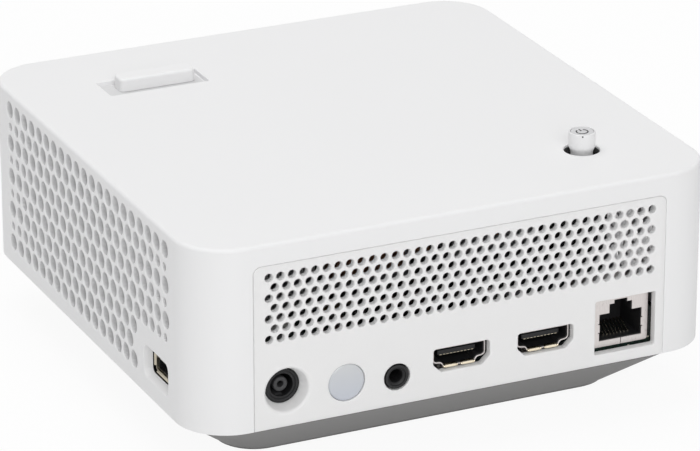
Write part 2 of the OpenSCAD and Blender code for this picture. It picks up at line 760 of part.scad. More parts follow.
prism_w = 20;
prism_h = 22;
prism_y0 = engine_y0 + engine_t + 3;
prism_y1 = engine_y1 - engine_t - 1;
window_r = 6;
glass_r = 7;
glass_t = 3;
module engine_housing() {
    in0 = engine_z0 + engine_t;
    color([0.18, 0.18, 0.19]) difference() {
        union() {
            difference() {
                block(engine_x0, engine_x1, engine_y0, engine_y1, engine_z0, engine_z1 - cover_t);
                block(engine_x0 + engine_t, engine_x1 - engine_t, engine_y0 + engine_t,
                      engine_y1 - engine_t, in0, engine_z1);
            }
            block(lens_x - prism_w / 2, lens_x + prism_w / 2, prism_y0, prism_y1, in0 - 0.5,
                  lens_z - prism_h / 2);
            // cradles under the condenser lenses
            for (x = glass_x) block(x - glass_t / 2, x + glass_t / 2, light_y - 6, light_y + 6,
                                    in0 - 0.5, lens_z - 4.5);
            block(led_x - 6, led_x + 6, glass_back - glass_t / 2, glass_back + glass_t / 2,
                  in0 - 0.5, lens_z - 4.5);
            // ribs along the outside of the front wall
            for (x = [engine_x1 - 8, engine_x1 - 16, engine_x1 - 24])
                block(x - 0.8, x + 0.8, engine_y1 - 0.5, engine_y1 + 1.6, engine_z0, engine_z1 - 6);
        }
        for (x = glass_x) rod_x(light_y, lens_z, x - glass_t / 2 - cut, x + glass_t / 2 + cut,
                                glass_r + touch);
        rod_y(led_x, lens_z, glass_back - glass_t / 2 - cut, glass_back + glass_t / 2 + cut,
              glass_r + touch);
        rod_y(lens_x, lens_z, engine_y1 - engine_t - cut, engine_y1 + cut, barrel_bore_r - 3);
        rod_x(light_y, lens_z, engine_x1 - engine_t - cut, engine_x1 + cut, window_r);
        rod_y(led_x, lens_z, engine_y0 - cut, engine_y0 + engine_t + cut, window_r);
        block(lens_x - 9, lens_x + 9, engine_y0 - cut, engine_y0 + engine_t + cut,
              lens_z - 6, lens_z + 6);
    }
}
glass_x = [engine_x1 - engine_t - 3, led_x - 11, led_x - 17];
glass_back = engine_y0 + engine_t + 2.4;

module engine_cover() {
    color([0.2, 0.2, 0.21]) difference() {
        block(engine_x0, engine_x1, engine_y0, engine_y1, engine_z1 - cover_t, engine_z1);
        for (x = [engine_x0 + 8, engine_x1 - 8], y = [engine_y0 + 8, engine_y1 - 8])
            rod_z(x, y, engine_z1 - 1, engine_z1 + cut, 2.6);
    }
}

module prism() {
    color([0.8, 0.88, 0.9, 0.5])
        block(lens_x - prism_w / 2, lens_x + prism_w / 2, prism_y0, prism_y1,
              lens_z - prism_h / 2, lens_z + prism_h / 2);
}

module condenser_lenses() {
    color([0.8, 0.88, 0.9, 0.5]) {
        for (x = glass_x) translate([x, light_y, lens_z]) rotate([0, 90, 0]) bulged_disc();
        translate([led_x, glass_back, lens_z]) rotate([-90, 0, 0]) bulged_disc();
    }
}

// A condenser lens about its own middle, with equal faces
module bulged_disc() {
    ball_r = 22;
    intersection() {
        cylinder(h = 2 * glass_t, r = glass_r, center = true);
        translate([0, 0, glass_t / 2 + 0.4 - ball_r]) sphere(ball_r, $fn = 96);
        translate([0, 0, ball_r - glass_t / 2 - 0.4]) sphere(ball_r, $fn = 96);
    }
}

module dichroic_mirrors() {
    color([0.9, 0.55, 0.7, 0.6])
        translate([led_x, light_y, engine_z0 + engine_t]) rotate([0, 0, 45])
            translate([-8, -0.6, 0]) cube([16, 1.2, 24]);
}

chip_t = 2.5;
dmd_board_y = engine_y0 - chip_t;
dmd_board_t = 1.6;
module dmd_chip() {
    color([0.55, 0.5, 0.42])
        block(lens_x - 11, lens_x + 11, dmd_board_y, engine_y0, lens_z - 8, lens_z + 8);
}

module dmd_board() {
    color([0.1, 0.32, 0.18]) {
        block(lens_x - 21, lens_x + 21, dmd_board_y - dmd_board_t, dmd_board_y,
              lens_z - 14, lens_z + 14);
        // connector of the ribbon, and driver chips beside the mirror chip
        block(lens_x - 9, lens_x + 9, dmd_board_y, dmd_board_y + 2.2, lens_z - 13, lens_z - 9.4);
        for (s = [-1, 1]) block(lens_x + s * 16 - 3, lens_x + s * 16 + 3, dmd_board_y,
                                dmd_board_y + 1, lens_z - 3, lens_z + 3);
    }
}

module dmd_heat_sink() {
    y1 = dmd_board_y - dmd_board_t;
    half = 14;
    color([0.72, 0.73, 0.75]) {
        block(lens_x - half, lens_x + half, y1 - 3, y1, lens_z - 12, lens_z + 12);
        for (i = [0:8]) block(lens_x - half + i * 3.35, lens_x - half + i * 3.35 + 1.2,
                              y1 - 12, y1 - 2.5, lens_z - 12, lens_z + 12);
    }
}

module green_led() {
    color([0.92, 0.92, 0.86]) block(engine_x1, engine_x1 + led_t, light_y - 10, light_y + 10,
                                    lens_z - 9, lens_z + 9);
    color([0.55, 0.8, 0.4]) block(engine_x1 - 1, engine_x1 + 0.1, light_y - 2.5, light_y + 2.5,
                                  lens_z - 2, lens_z + 2);
}

module red_blue_led() {
    color([0.92, 0.92, 0.86]) block(led_x - 10, led_x + 10, engine_y0 - led_t, engine_y0,
                                    lens_z - 9, lens_z + 9);
    color([0.75, 0.45, 0.5]) block(led_x - 2.5, led_x + 2.5, engine_y0 - 0.1, engine_y0 + 1,
                                   lens_z - 2, lens_z + 2);
}

// Two copper spreaders, each with a heat pipe that turns into the fins
module heat_pipes() {
    bend_a = (fin_mid - pipe_a_x) / 2;
    bend_b = 3 * pipe_r;
    start_a = light_y - 11;
    turn_a = fin_y1 + 2;
    color([0.78, 0.47, 0.3]) {
        block(engine_x1 + led_t, engine_x1 + led_t + spread_t, start_a, light_y + 11,
              lens_z - 12, lens_z + 9);
        block(led_x - 10, led_x + 10, pipe_b_y - spread_t / 2, pipe_b_y + spread_t / 2,
              lens_z - 9, lens_z + 12);
        rod_y(pipe_a_x, pipe_a_z, light_y, turn_a, pipe_r);
        translate([pipe_a_x + bend_a, turn_a, pipe_a_z]) rotate_extrude(angle = 180)
            translate([bend_a, 0]) circle(pipe_r);
        rod_y(fin_mid, pipe_a_z, fin_y0 - 1, turn_a, pipe_r);
        rod_x(pipe_b_y, pipe_b_z, led_x, fin_mid - bend_b, pipe_r);
        translate([fin_mid - bend_b, pipe_b_y + bend_b, pipe_b_z]) rotate([0, 0, -90])
            rotate_extrude(angle = 90) translate([bend_b, 0]) circle(pipe_r);
        rod_y(fin_mid, pipe_b_z, pipe_b_y + bend_b, fin_y1 + 1, pipe_r);
    }
}

module fin_stack() {
    color([0.8, 0.81, 0.82]) difference() {
        union() {
            for (i = [0:fin_count - 1]) let (y = fin_y0 + i * fin_pitch)
                block(fin_x0, fin_x1, y, y + fin_t, fin_z0, fin_z1);
            // folded edges that space the fins, at the top and the bottom
            for (z = [fin_z0, fin_z1 - fin_t])
                block(fin_x0 + 3, fin_x1 - 3, fin_y0, fin_y1, z, z + fin_t);
        }
        rod_y(fin_mid, pipe_a_z, fin_y0 - cut, fin_y1 + cut, pipe_r + touch);
        rod_y(fin_mid, pipe_b_z, fin_y0 - cut, fin_y1 + cut, pipe_r + touch);
    }
}

// ---- Fans: each is drawn along +X with its open face at x = 0, and placed at its wall ----

hub_r = 10;
shaft_r = 1;
module fan_frame(t) {
    bore = fan_side / 2 - 1.2;
    difference() {
        union() {
            difference() {
                along_x(0, t) rounded_rect(fan_side, fan_side, 3);
                rod_x(0, 0, -cut, t + cut, bore);
            }
            // motor plate on three struts, with the bearing tube
            rod_x(0, 0, t - 1.5, t, hub_r);
            for (a = [30, 150, 270]) rotate([a, 0, 0]) block(t - 1.5, t, -1, 1, hub_r - 1, bore + 0.5);
            rod_x(0, 0, 3, t - 1, 2.4);
        }
        rod_x(0, 0, 3 - cut, t - 0.8, shaft_r + run);
        for (sy = [-1, 1], sz = [-1, 1])
            rod_x(sy * (fan_side / 2 - 4), sz * (fan_side / 2 - 4), -cut, t + cut, 1.7);
    }
}

module fan_rotor(t) {
    blade_w = t - 3.4;
    tip = fan_side / 2 - 1.9;
    difference() {
        rod_x(0, 0, 0.6, t - 2, hub_r - 0.6);
        rod_x(0, 0, 1.8, t, hub_r - 1.6);
    }
    rod_x(0, 0, 1, t - 1.2, shaft_r);
    for (i = [0:6]) rotate([i * 360 / 7, 0, 0]) translate([0.8, 0, 0]) rotate([90, 0, 90])
        linear_extrude(blade_w, twist = 38, slices = 6, segments = 5)
            polygon([[hub_r - 1, -0.5], [tip - 2, -0.9], [tip, 0.4], [tip - 2, 0.1], [hub_r - 1, 0.5]]);
}

// Places a fan at the side wall: s is 1 at the right and -1 at the left
module at_wall(s) {
    translate([s * (inner_x - 0.4), fan_y, fan_z]) mirror([s > 0 ? 1 : 0, 0, 0]) children();
}

module right_fan_frame() {
    color([0.12, 0.12, 0.13]) at_wall(1) fan_frame(right_fan_t);
}

module right_rotor() {
    color([0.15, 0.15, 0.16]) at_wall(1) fan_rotor(right_fan_t);
}

module left_fan_frame() {
    color([0.12, 0.12, 0.13]) at_wall(-1) fan_frame(left_fan_t);
}

module left_rotor() {
    color([0.15, 0.15, 0.16]) at_wall(-1) fan_rotor(left_fan_t);
}

// ---- Speakers: drawn along +X with the cone's face at x = 0 ----

module at_speaker(s) {
    translate([s * (inner_x - box_gap), speaker_y, speaker_z])
        mirror([s > 0 ? 1 : 0, 0, 0]) children();
}

magnet_r = 8.5;
coil_r = 5;
module speaker_boxes() {
    h = speaker_z1 - speaker_z0;
    w = speaker_y1 - speaker_y0;
    color([0.14, 0.14, 0.15]) for (s = [-1, 1]) at_speaker(s) difference() {
        along_x(0, box_t) rounded_rect(w, h, 2.5);
        along_x(1.6, box_t - 1.6) rounded_rect(w - 3.2, h - 3.2, 1.5);
        rod_x(0, 0, -cut, 1.6 + cut, cone_r + run);
    }
}

module speaker_magnets() {
    color([0.35, 0.35, 0.37]) for (s = [-1, 1]) at_speaker(s) difference() {
        rod_x(0, 0, 5.4, box_t - 1.6, magnet_r);
        difference() {
            rod_x(0, 0, 5.4 - cut, box_t - 3, coil_r + 0.6);
            rod_x(0, 0, 5.4 - cut, box_t, coil_r - 0.7);
        }
    }
}

module speaker_cone() {
    t = 0.5;
    rotate([0, 90, 0]) rotate_extrude() {
        polygon([[cone_r - 1.6, 1], [cone_r, 0.9], [cone_r, 1.5], [cone_r - 1.6, 1.6],
                 [coil_r + t / 2, 4.2], [coil_r, 4.2], [coil_r, 3.4]]);
        translate([coil_r - 0.2, 3.2]) square([t, box_t - 7.5]);
        intersection() {
            translate([0, 7.9]) difference() {
                circle(6.6, $fn = 96);
                circle(6.6 - t, $fn = 96);
            }
            translate([0, 0]) square([coil_r, 4.4]);
        }
    }
}

module left_cone() {
    color([0.25, 0.24, 0.23]) at_speaker(-1) speaker_cone();
}

module right_cone() {
    color([0.25, 0.24, 0.23]) at_speaker(1) speaker_cone();
}

// ---- Main board and what stands on it ----

module main_board() {
    color([0.08, 0.3, 0.17]) difference() {
        block(-board_half, board_half, board_rear, board_front, board_z, board_top);
        for (p = screw_spots) rod_z(p[0], p[1], board_z - cut, board_top + cut, boss_r + 1);
        for (p = board_spots) rod_z(p[0], p[1], board_z - cut, board_top + cut, 1.2);
    }
}

module inner_screws() {
    color([0.7, 0.7, 0.72]) {
        for (p = board_spots) {
            rod_z(p[0], p[1], board_top, board_top + 1.3, 2.4);
            rod_z(p[0], p[1], board_z - 5, board_top + 0.1, 0.8);
        }
        for (s = [-1, 1]) {
            rod_z(button_x + s * 8, -button_y, joy_board_z - 1.2, joy_board_z, 2);
            rod_z(button_x + s * 8, -button_y, joy_board_z - 0.1, joy_floor + 5, 0.8);
        }
        for (a = [45:90:315]) translate([lens_x, 0, lens_z]) rotate([0, a, 0])
            rod_y(shoulder_r + 0.2, 0, engine_y1 + 3, engine_y1 + 4.4, 2.2);
    }
}

cpu_x = 4;
cpu_y = -44;
module board_chips() {
    color([0.1, 0.1, 0.11]) {
        block(cpu_x - 9, cpu_x + 9, cpu_y - 9, cpu_y + 9, board_top, board_top + 1.5);
        for (i = [0, 1]) block(cpu_x + 13, cpu_x + 22, cpu_y - 6 + i * 13, cpu_y + 2 + i * 13,
                               board_top, board_top + 1.1);
        block(-60, -51, -30, -23, board_top, board_top + 1.2);
        block(-8, 4, -30, -24, board_top, board_top + 1.4);
    }
    // white cable headers along the front edge
    color([0.9, 0.88, 0.8]) for (x = [-58, 12, 40, 58])
        block(x - 4, x + 4, board_front - 5, board_front, board_top, board_top + 3.4);
}

module board_coils() {
    color([0.3, 0.3, 0.32]) for (p = [[-28, -40], [-20, -40], [34, -38]])
        translate([p[0], p[1], board_top]) linear_extrude(3.2) rounded_rect(6.6, 6.6, 1.2);
    color([0.8, 0.8, 0.82]) for (p = [[-38, -44], [-58, -60], [-51, -46]])
        rod_z(p[0], p[1], board_top, board_top + 6, 2.6);
}

module processor_heat_sink() {
    z0 = board_top + 1.5;
    color([0.15, 0.15, 0.16]) {
        block(cpu_x - 12, cpu_x + 12, cpu_y - 11, cpu_y + 11, z0, z0 + 2);
        for (i = [0:7]) block(cpu_x - 12 + i * 3.28, cpu_x - 12 + i * 3.28 + 1.04,
                              cpu_y - 11, cpu_y + 11, z0 + 1.5, z0 + 9);
    }
}

module wireless_module() {
    color([0.1, 0.2, 0.4]) block(51.5, 65.5, -33, -27.4, board_top, board_top + 1);
    color([0.75, 0.75, 0.77]) block(52.2, 61, -32.4, -28, board_top + 0.9, board_top + 2.4);
}

// The flat cable from the main board to the mirror chip's board, bent twice
module dmd_ribbon() {
    half = 8;
    t = 0.3;
    y0 = board_front - 6;
    y1 = dmd_board_y + 1.2;
    top = lens_z - 13;
    z = board_top + 1.6;
    r = 1.5;
    color([0.92, 0.92, 0.9]) along_x(lens_x - half, lens_x + half) {
        translate([y0, z]) square([y1 - r - y0, t]);
        translate([y1 - r, z + r]) intersection() {
            difference() {
                circle(r);
                circle(r - t);
            }
            translate([0, -r]) square([r, r]);
        }
        translate([y1 - t, z + r]) square([t, top - z - r]);
    }
    // its socket on the main board
    color([0.85, 0.83, 0.76]) difference() {
        block(lens_x - half - 1, lens_x + half + 1, y0 - 2, y0 + 2, board_top, z + t + 0.8);
        block(lens_x - half - 0.1, lens_x + half + 0.1, y0, y0 + 3, z - touch, z + t + touch);
    }
}

// ---- Ports ----

module dc_jack() {
    half = 5.5;
    face = rear_y + dc_depth;
    y0 = face + 0.35;
    y1 = inner_rear + 13.5;
    color([0.07, 0.07, 0.08]) difference() {
        union() {
            block(dc_x - half, dc_x + half, y0, y1, board_top, dc_z + half - 1);
            rod_y(dc_x, dc_z, y0, y1, half);
            rod_y(dc_x, dc_z, face, y0 + 1, dc_throat_r - seam);
        }
        rod_y(dc_x, dc_z, face - cut, y1 - 2, dc_bore_r);
        cone_y(dc_x, dc_z, face - 0.001, face + 0.6, dc_bore_r + 0.6, dc_bore_r);
    }
}

module dc_pin() {
    tip = rear_y + dc_depth + 0.9;
    color([0.16, 0.16, 0.17]) difference() {
        rod_y(dc_x, dc_z, tip, inner_rear + 11.5, dc_post_r);
        rod_y(dc_x, dc_z, tip - cut, tip + 6.4, dc_post_bore_r);
    }
}

module headphone_jack() {
    color([0.07, 0.07, 0.08]) difference() {
        union() {
            block(phone_x - 4, phone_x + 4, inner_rear, inner_rear + 12, board_top, phone_z + 3.5);
            rod_y(phone_x, phone_z, rear_y, inner_rear + 1, phone_nose_r);
        }
        rod_y(phone_x, phone_z, rear_y - cut, inner_rear + 11, phone_bore_r);
        cone_y(phone_x, phone_z, rear_y - 0.001, rear_y + 0.5, phone_bore_r + 0.5, phone_bore_r);
    }
}

video_len = 11.5;
plate = 0.35;
module video_sockets() {
    y0 = rear_y + 1.2;
    color([0.72, 0.68, 0.6]) for (i = [0, 1]) translate([video_x + i * video_gap, 0, video_z]) {
        difference() {
            along_y(y0, y0 + video_len) hdmi_outline(video_w, video_h);
            along_y(y0 - cut, y0 + video_len - 0.6) hdmi_outline(video_w - 2 * plate, video_h - 2 * plate);
            // windows of the grip springs, in the top and the sides
            for (s = [-1, 1]) block(s * 3.6 - 1.3, s * 3.6 + 1.3, y0 + 2, y0 + 6, 0, video_h);
        }
        // grip springs bowed into the opening
        for (s = [-1, 1]) block(s * 3.6 - 0.9, s * 3.6 + 0.9, y0 + 1.5, y0 + 6.5,
                                video_h / 2 - 0.55, video_h / 2 - 0.2);
    }
    // the moulded feet that stand on the board
    color([0.1, 0.1, 0.11]) for (i = [0, 1]) translate([video_x + i * video_gap, 0, 0])
        block(-5, 5, board_rear + 0.6, y0 + video_len, board_top, video_z - video_h / 2);
}

module video_tongues() {
    y0 = rear_y + 1.2;
    color([0.09, 0.09, 0.1]) for (i = [0, 1]) translate([video_x + i * video_gap, 0, video_z])
        block(-5.4, 5.4, y0 + 1.4, y0 + video_len - 0.6, 0, 1.3);
    color([0.85, 0.7, 0.4]) for (i = [0, 1], k = [-4.5:4.5])
        translate([video_x + i * video_gap + k, 0, video_z])
            block(-0.25, 0.25, y0 + 1.8, y0 + 6, -0.12, 0.1);
}

// The stepped opening of a network socket, in X and Z about its middle
module network_outline(g) {
    translate([0, -1.15]) square([12 + g, 7.3 + g], center = true);
    translate([0, 3.2]) square([6.2 + g, 3.2 + g], center = true);
    translate([0, 4.6]) square([3.4 + g, 2.4 + g], center = true);
}

net_len = 15.5;
net_y0 = inner_rear + 0.4;
module socket_springs() {
    y0 = rear_y + 1.2;
    color([0.8, 0.72, 0.5]) for (i = [0, 1], s = [-1, 1])
        translate([video_x + i * video_gap + s * 3.2, 0, video_z - video_h / 2 + plate + touch])
            along_x(-1.2, 1.2) difference() {
                intersection() {
                    translate([y0 + 3, -2.1]) circle(3);
                    translate([y0, 0]) square([6, 1]);
                }
                translate([y0 + 3, -2.1]) circle(2.75);
            }
}
module network_socket() {
    color([0.8, 0.77, 0.74]) difference() {
        translate([net_x, 0, net_z]) along_y(net_y0, net_y0 + net_len)
            square([net_w, net_h], center = true);
        translate([net_x, 0, net_z]) {
            block(-net_w / 2 + plate, net_w / 2 - plate, net_y0 + plate, net_y0 + net_len - plate,
                  -net_h / 2 + plate, net_h / 2 - plate);
            along_y(net_y0 - cut, net_y0 + cut) network_outline(0.4);
        }
    }
    // springs on the sides that press against the case
    color([0.8, 0.77, 0.74]) for (s = [-1, 1], z = [-3, 3])
        translate([net_x + s * net_w / 2, 0, net_z + z])
            block(-0.3, 0.3, net_y0 + 1, net_y0 + 7, -1.2, 1.2);
}

module network_insert() {
    w = net_w - 2 * plate - 2 * touch;
    h = net_h - 2 * plate - 2 * touch;
    y0 = net_y0 + plate + touch;
    y1 = net_y0 + net_len - plate - touch;
    color([0.06, 0.06, 0.07]) translate([net_x, 0, net_z]) difference() {
        along_y(y0, y1) square([w, h], center = true);
        along_y(y0 - cut, y0 + 11) network_outline(0);
    }
    color([0.85, 0.7, 0.4]) translate([net_x, 0, net_z]) for (k = [-3.5:3.5])
        translate([k * 1.02, 0, 0]) block(-0.2, 0.2, y0 + 2, y0 + 9, -4.9, -3.7);
}

usb_w = 13.1;
usb_h = 5.7;
usb_len = 14;
usb_x0 = -inner_x + 0.2;
module usb_socket() {
    color([0.78, 0.76, 0.72]) translate([0, usb_y, usb_z]) {
        difference() {
            along_x(usb_x0, usb_x0 + usb_len) square([usb_w, usb_h], center = true);
            along_x(usb_x0 - cut, usb_x0 + usb_len - 0.6)
                square([usb_w - 2 * plate, usb_h - 2 * plate], center = true);
            for (s = [-1, 1]) block(usb_x0 + 2, usb_x0 + 7, s * 3 - 1.1, s * 3 + 1.1, 0, usb_h);
        }
        for (s = [-1, 1]) block(usb_x0 + 1.6, usb_x0 + 7.6, s * 3 - 0.8, s * 3 + 0.8,
                                usb_h / 2 - 0.6, usb_h / 2 - 0.2);
    }
    // the foot that stands on the board
    color([0.1, 0.1, 0.11]) block(-board_half + 1, usb_x0 + usb_len, usb_y - 5, usb_y + 5,
                                  board_top, usb_z - usb_h / 2);
}

module usb_tongue() {
    color([0.93, 0.93, 0.92]) translate([0, usb_y, usb_z])
        block(usb_x0 + 1.2, usb_x0 + usb_len - 0.6, -5.6, 5.6, 0.2, 2);
    color([0.85, 0.7, 0.4]) for (k = [-1.5:1.5]) translate([0, usb_y + k * 2.4, usb_z])
        block(usb_x0 + 1.8, usb_x0 + 9, -0.5, 0.5, 0.05, 0.25);
}

// ---- Joystick button: a plunger that slides, a rocker that tilts in it, and the stem ----

module button_board() {
    color([0.1, 0.32, 0.18]) difference() {
        translate([button_x, -button_y, joy_board_z]) linear_extrude(joy_board_t)
            rounded_rect(22, 13, 2);
        for (s = [-1, 1]) rod_z(button_x + s * 8, -button_y, joy_board_z - cut, joy_floor + cut, 1);
    }
}

cup_r = 4.1;
cup_wall = 0.8;
case_top = joy_z + 2.4;
module switch_case() {
    color([0.75, 0.75, 0.77]) translate([button_x, -button_y, 0]) difference() {
        slab(10.6, 10.6, 1, joy_floor, case_top);
        rod_z(0, 0, joy_floor + 0.6, case_top + cut, cup_r + run);
    }
}

press = 0.6;
module switch_dome() {
    color([0.85, 0.85, 0.83]) translate([button_x, -button_y, joy_floor + 0.6]) intersection() {
        difference() {
            translate([0, 0, 0.7 - 9]) sphere(9, $fn = 96);
            translate([0, 0, 0.5 - 9]) sphere(9, $fn = 96);
        }
        rod_z(0, 0, 0, 2, 3.4);
    }
}

trunnion_r = 0.45;
plunger_z0 = joy_floor + 0.6 + 0.7 + press + 0.1;
module switch_plunger() {
    color([0.2, 0.2, 0.21]) translate([button_x, -button_y, 0]) difference() {
        rod_z(0, 0, plunger_z0, joy_z + 1.6, cup_r);
        rod_z(0, 0, plunger_z0 + 0.5, joy_z + 2, cup_r - cup_wall);
        rod_x(0, joy_z, -cup_r - cut, cup_r + cut, trunnion_r + run);
    }
}

rocker_r = 2.95;
rocker_bore = 2.15;
module switch_rocker() {
    color([0.5, 0.5, 0.52]) translate([button_x, -button_y, 0]) difference() {
        union() {
            rod_z(0, 0, joy_z - 0.9, joy_z + 0.9, rocker_r);
            rod_x(0, joy_z, -cup_r + 0.1, cup_r - 0.1, trunnion_r);
        }
        rod_z(0, 0, joy_z - 2, joy_z + 2, rocker_bore);
        rod_y(0, joy_z, -rocker_r - cut, rocker_r + cut, trunnion_r + run);
    }
}

skirt_z = ceiling - 2.2;
module switch_stem() {
    color([0.2, 0.2, 0.21]) translate([button_x, -button_y, 0]) {
        rod_z(0, 0, joy_z - 1, skirt_z + 4, 1.4);
        rod_y(0, joy_z, -rocker_r + 0.1, rocker_r - 0.1, trunnion_r);
    }
}

module button_cap() {
    top = case_h + button_h;
    rim = 0.3;
    color([0.9, 0.9, 0.91]) translate([button_x, -button_y, 0]) difference() {
        rotate_extrude() {
            translate([0, skirt_z]) square([button_r + 1.6, 0.8]);
            translate([0, skirt_z]) square([button_r - 0.75, case_h - skirt_z]);
            translate([0, case_h - 0.1]) square([button_r - 0.1, top - rim - case_h + 0.1]);
            translate([0, case_h - 0.1]) square([button_r - 0.1 - rim, top - case_h + 0.1]);
            translate([button_r - 0.1 - rim, top - rim]) circle(rim);
        }
        // the dish in the top, and the socket of the stem
        rod_z(0, 0, top - 0.25, top + cut, button_r - 0.4);
        rod_z(0, 0, skirt_z - cut, skirt_z + 4 + touch, 1.4 + touch);
    }
}

upper_shell();
rear_panel();
base_cover();
rubber_feet();
tripod_insert();
case_screws();
lens_bezel();
front_ir_window();
rear_ir_window();
lens_barrel();
rear_lenses();
ring_clip();
focus_ring();
focus_lever();
lens_cell();
front_lenses();
engine_housing();
engine_cover();
prism();
condenser_lenses();
dichroic_mirrors();
dmd_chip();
dmd_board();
dmd_heat_sink();
green_led();
red_blue_led();
heat_pipes();
fin_stack();
right_fan_frame();
right_rotor();
left_fan_frame();
left_rotor();
speaker_boxes();
speaker_magnets();
left_cone();
right_cone();
main_board();
inner_screws();
board_chips();
board_coils();
processor_heat_sink();
wireless_module();
dmd_ribbon();
dc_jack();
dc_pin();
headphone_jack();
video_sockets();
video_tongues();
socket_springs();
network_socket();
network_insert();
usb_socket();
usb_tongue();
button_board();
switch_case();
switch_dome();
switch_plunger();
switch_rocker();
switch_stem();
button_cap();
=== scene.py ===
import json
import math

import bmesh
import bpy
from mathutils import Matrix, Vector, geometry


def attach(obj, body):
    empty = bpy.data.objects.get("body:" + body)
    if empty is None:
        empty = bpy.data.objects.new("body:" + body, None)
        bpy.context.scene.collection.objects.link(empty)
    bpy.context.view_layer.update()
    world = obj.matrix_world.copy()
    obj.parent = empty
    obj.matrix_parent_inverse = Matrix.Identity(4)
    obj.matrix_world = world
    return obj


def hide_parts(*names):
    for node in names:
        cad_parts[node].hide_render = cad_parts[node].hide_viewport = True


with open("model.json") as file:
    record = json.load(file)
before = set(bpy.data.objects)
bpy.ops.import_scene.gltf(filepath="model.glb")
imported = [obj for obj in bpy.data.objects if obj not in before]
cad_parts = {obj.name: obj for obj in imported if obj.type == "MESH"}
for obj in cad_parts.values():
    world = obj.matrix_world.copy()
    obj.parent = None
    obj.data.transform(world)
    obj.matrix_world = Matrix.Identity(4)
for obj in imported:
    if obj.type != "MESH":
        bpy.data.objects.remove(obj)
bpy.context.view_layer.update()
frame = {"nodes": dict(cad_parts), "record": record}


# ---- The view -----------------------------------------------------------------------------
# A long lens looks at the projector from behind, from its left and from above, so that
# its upright edges stay upright.

look = Vector((0.39026, 0.83961, -0.37784))
camera = bpy.data.objects.new("camera", bpy.data.cameras.new("camera"))
camera.data.lens = 223.35
camera.location = (-0.4543, -0.9828, 0.4768)
camera.rotation_euler = look.to_track_quat("-Z", "Y").to_euler()
bpy.context.scene.collection.objects.link(camera)
bpy.context.scene.camera = camera
bpy.context.scene.view_settings.view_transform = "Standard"


# ---- The table and the light --------------------------------------------------------------
# A white table top in a white room, lit by two soft boxes. The table keeps a faint shadow,
# and rays from the camera, from gloss and through glass see it white.


class Wire:
    """A socket of a node tree that can be worked with in sums."""

    def __init__(self, tree, socket=None):
        self.tree, self.socket = tree, socket

    def node(self, kind, settings=None, inputs=None, output=0):
        made = self.tree.nodes.new(kind)
        for name, value in (settings or {}).items():
            setattr(made, name, value)
        for name, value in (inputs or {}).items():
            if isinstance(value, Wire):
                self.tree.links.new(value.socket, made.inputs[name])
            else:
                made.inputs[name].default_value = value
        return Wire(self.tree, made.outputs[output])

    def maths(self, operation, first, second):
        return self.node("ShaderNodeMath", {"operation": operation}, {0: first, 1: second})

    def __add__(self, other):
        return self.maths("ADD", self, other)

    def __sub__(self, other):
        return self.maths("SUBTRACT", self, other)

    def __mul__(self, other):
        return self.maths("MULTIPLY", self, other)

    def __lt__(self, other):
        return self.maths("LESS_THAN", self, other)

    __radd__ = __add__

    def between(self, low, high):
        """Goes from one colour to the other as this value goes from 0 to 1."""
        return self.node("ShaderNodeMix", {"data_type": "RGBA"}, {0: self, 6: low, 7: high}, 2)


def seen_white(tree, lit, white_share):
    """Plain white to the rays that look, the lit shader to the rays that carry light."""
    start = Wire(tree)
    rays = [start.node("ShaderNodeLightPath", output=name)
            for name in ("Is Camera Ray", "Is Glossy Ray", "Is Transmission Ray")]
    seen = (rays[0] + rays[1] + rays[2]) * white_share
    white = start.node("ShaderNodeEmission", None, {"Color": (1, 1, 1, 1), "Strength": 1.0})
    return start.node("ShaderNodeMixShader", None, {0: seen, 1: lit, 2: white})


def link_to_output(tree, shader, kind):
    """Joins a shader to its tree's output, which is made where the tree has none."""
    end = next((n for n in tree.nodes if n.bl_idname == kind), None) or tree.nodes.new(kind)
    tree.links.new(shader.socket, end.inputs["Surface"])


room = bpy.data.worlds.new("room")
room.use_nodes = True
room_light = Wire(room.node_tree).node("ShaderNodeBackground", None,
                                       {"Color": (1, 1, 1, 1), "Strength": 0.45})
link_to_output(room.node_tree, seen_white(room.node_tree, room_light, 1.0),
               "ShaderNodeOutputWorld")
bpy.context.scene.world = room

reach = 3
table_mesh = bpy.data.meshes.new("table")
table_mesh.from_pydata([(-reach, -reach, 0), (reach, -reach, 0), (reach, reach, 0),
                        (-reach, reach, 0)], [], [(0, 1, 2, 3)])
table = bpy.data.objects.new("table", table_mesh)
bpy.context.scene.collection.objects.link(table)
table_top = bpy.data.materials.new("table_top")
table_top.use_nodes = True
table_lit = Wire(table_top.node_tree).node("ShaderNodeBsdfDiffuse", None,
                                           {"Color": (0.9, 0.9, 0.9, 1)})
link_to_output(table_top.node_tree, seen_white(table_top.node_tree, table_lit, 0.93),
               "ShaderNodeOutputMaterial")
table_mesh.materials.append(table_top)


def soft_box(name, place, size, power):
    """A square lamp turned to the middle of the projector."""
    lamp = bpy.data.lights.new(name, "AREA")
    lamp.shape, lamp.size, lamp.energy = "SQUARE", size, power
    stand = bpy.data.objects.new(name, lamp)
    stand.location = place
    towards = Vector((0, 0, 0.04)) - Vector(place)
    stand.rotation_euler = towards.to_track_quat("-Z", "Y").to_euler()
    bpy.context.scene.collection.objects.link(stand)


soft_box("soft_box_above", (-0.3, 0.5, 2.1), 1.8, 21.5)
soft_box("soft_box_behind", (-0.4, -1.9, 0.95), 1.3, 16.5)


# ---- Upper shell --------------------------------------------------------------------------
# White moulded cover, one piece with its four walls. The side walls are pierced by round
# holes that fade out along every second row, the rear wall is cut out for the rear panel.


def quarter_turn(steps):
    return [math.pi / 2 * i / steps for i in range(steps + 1)]


def full_turn(steps):
    return [2 * math.pi * i / steps for i in range(steps)]


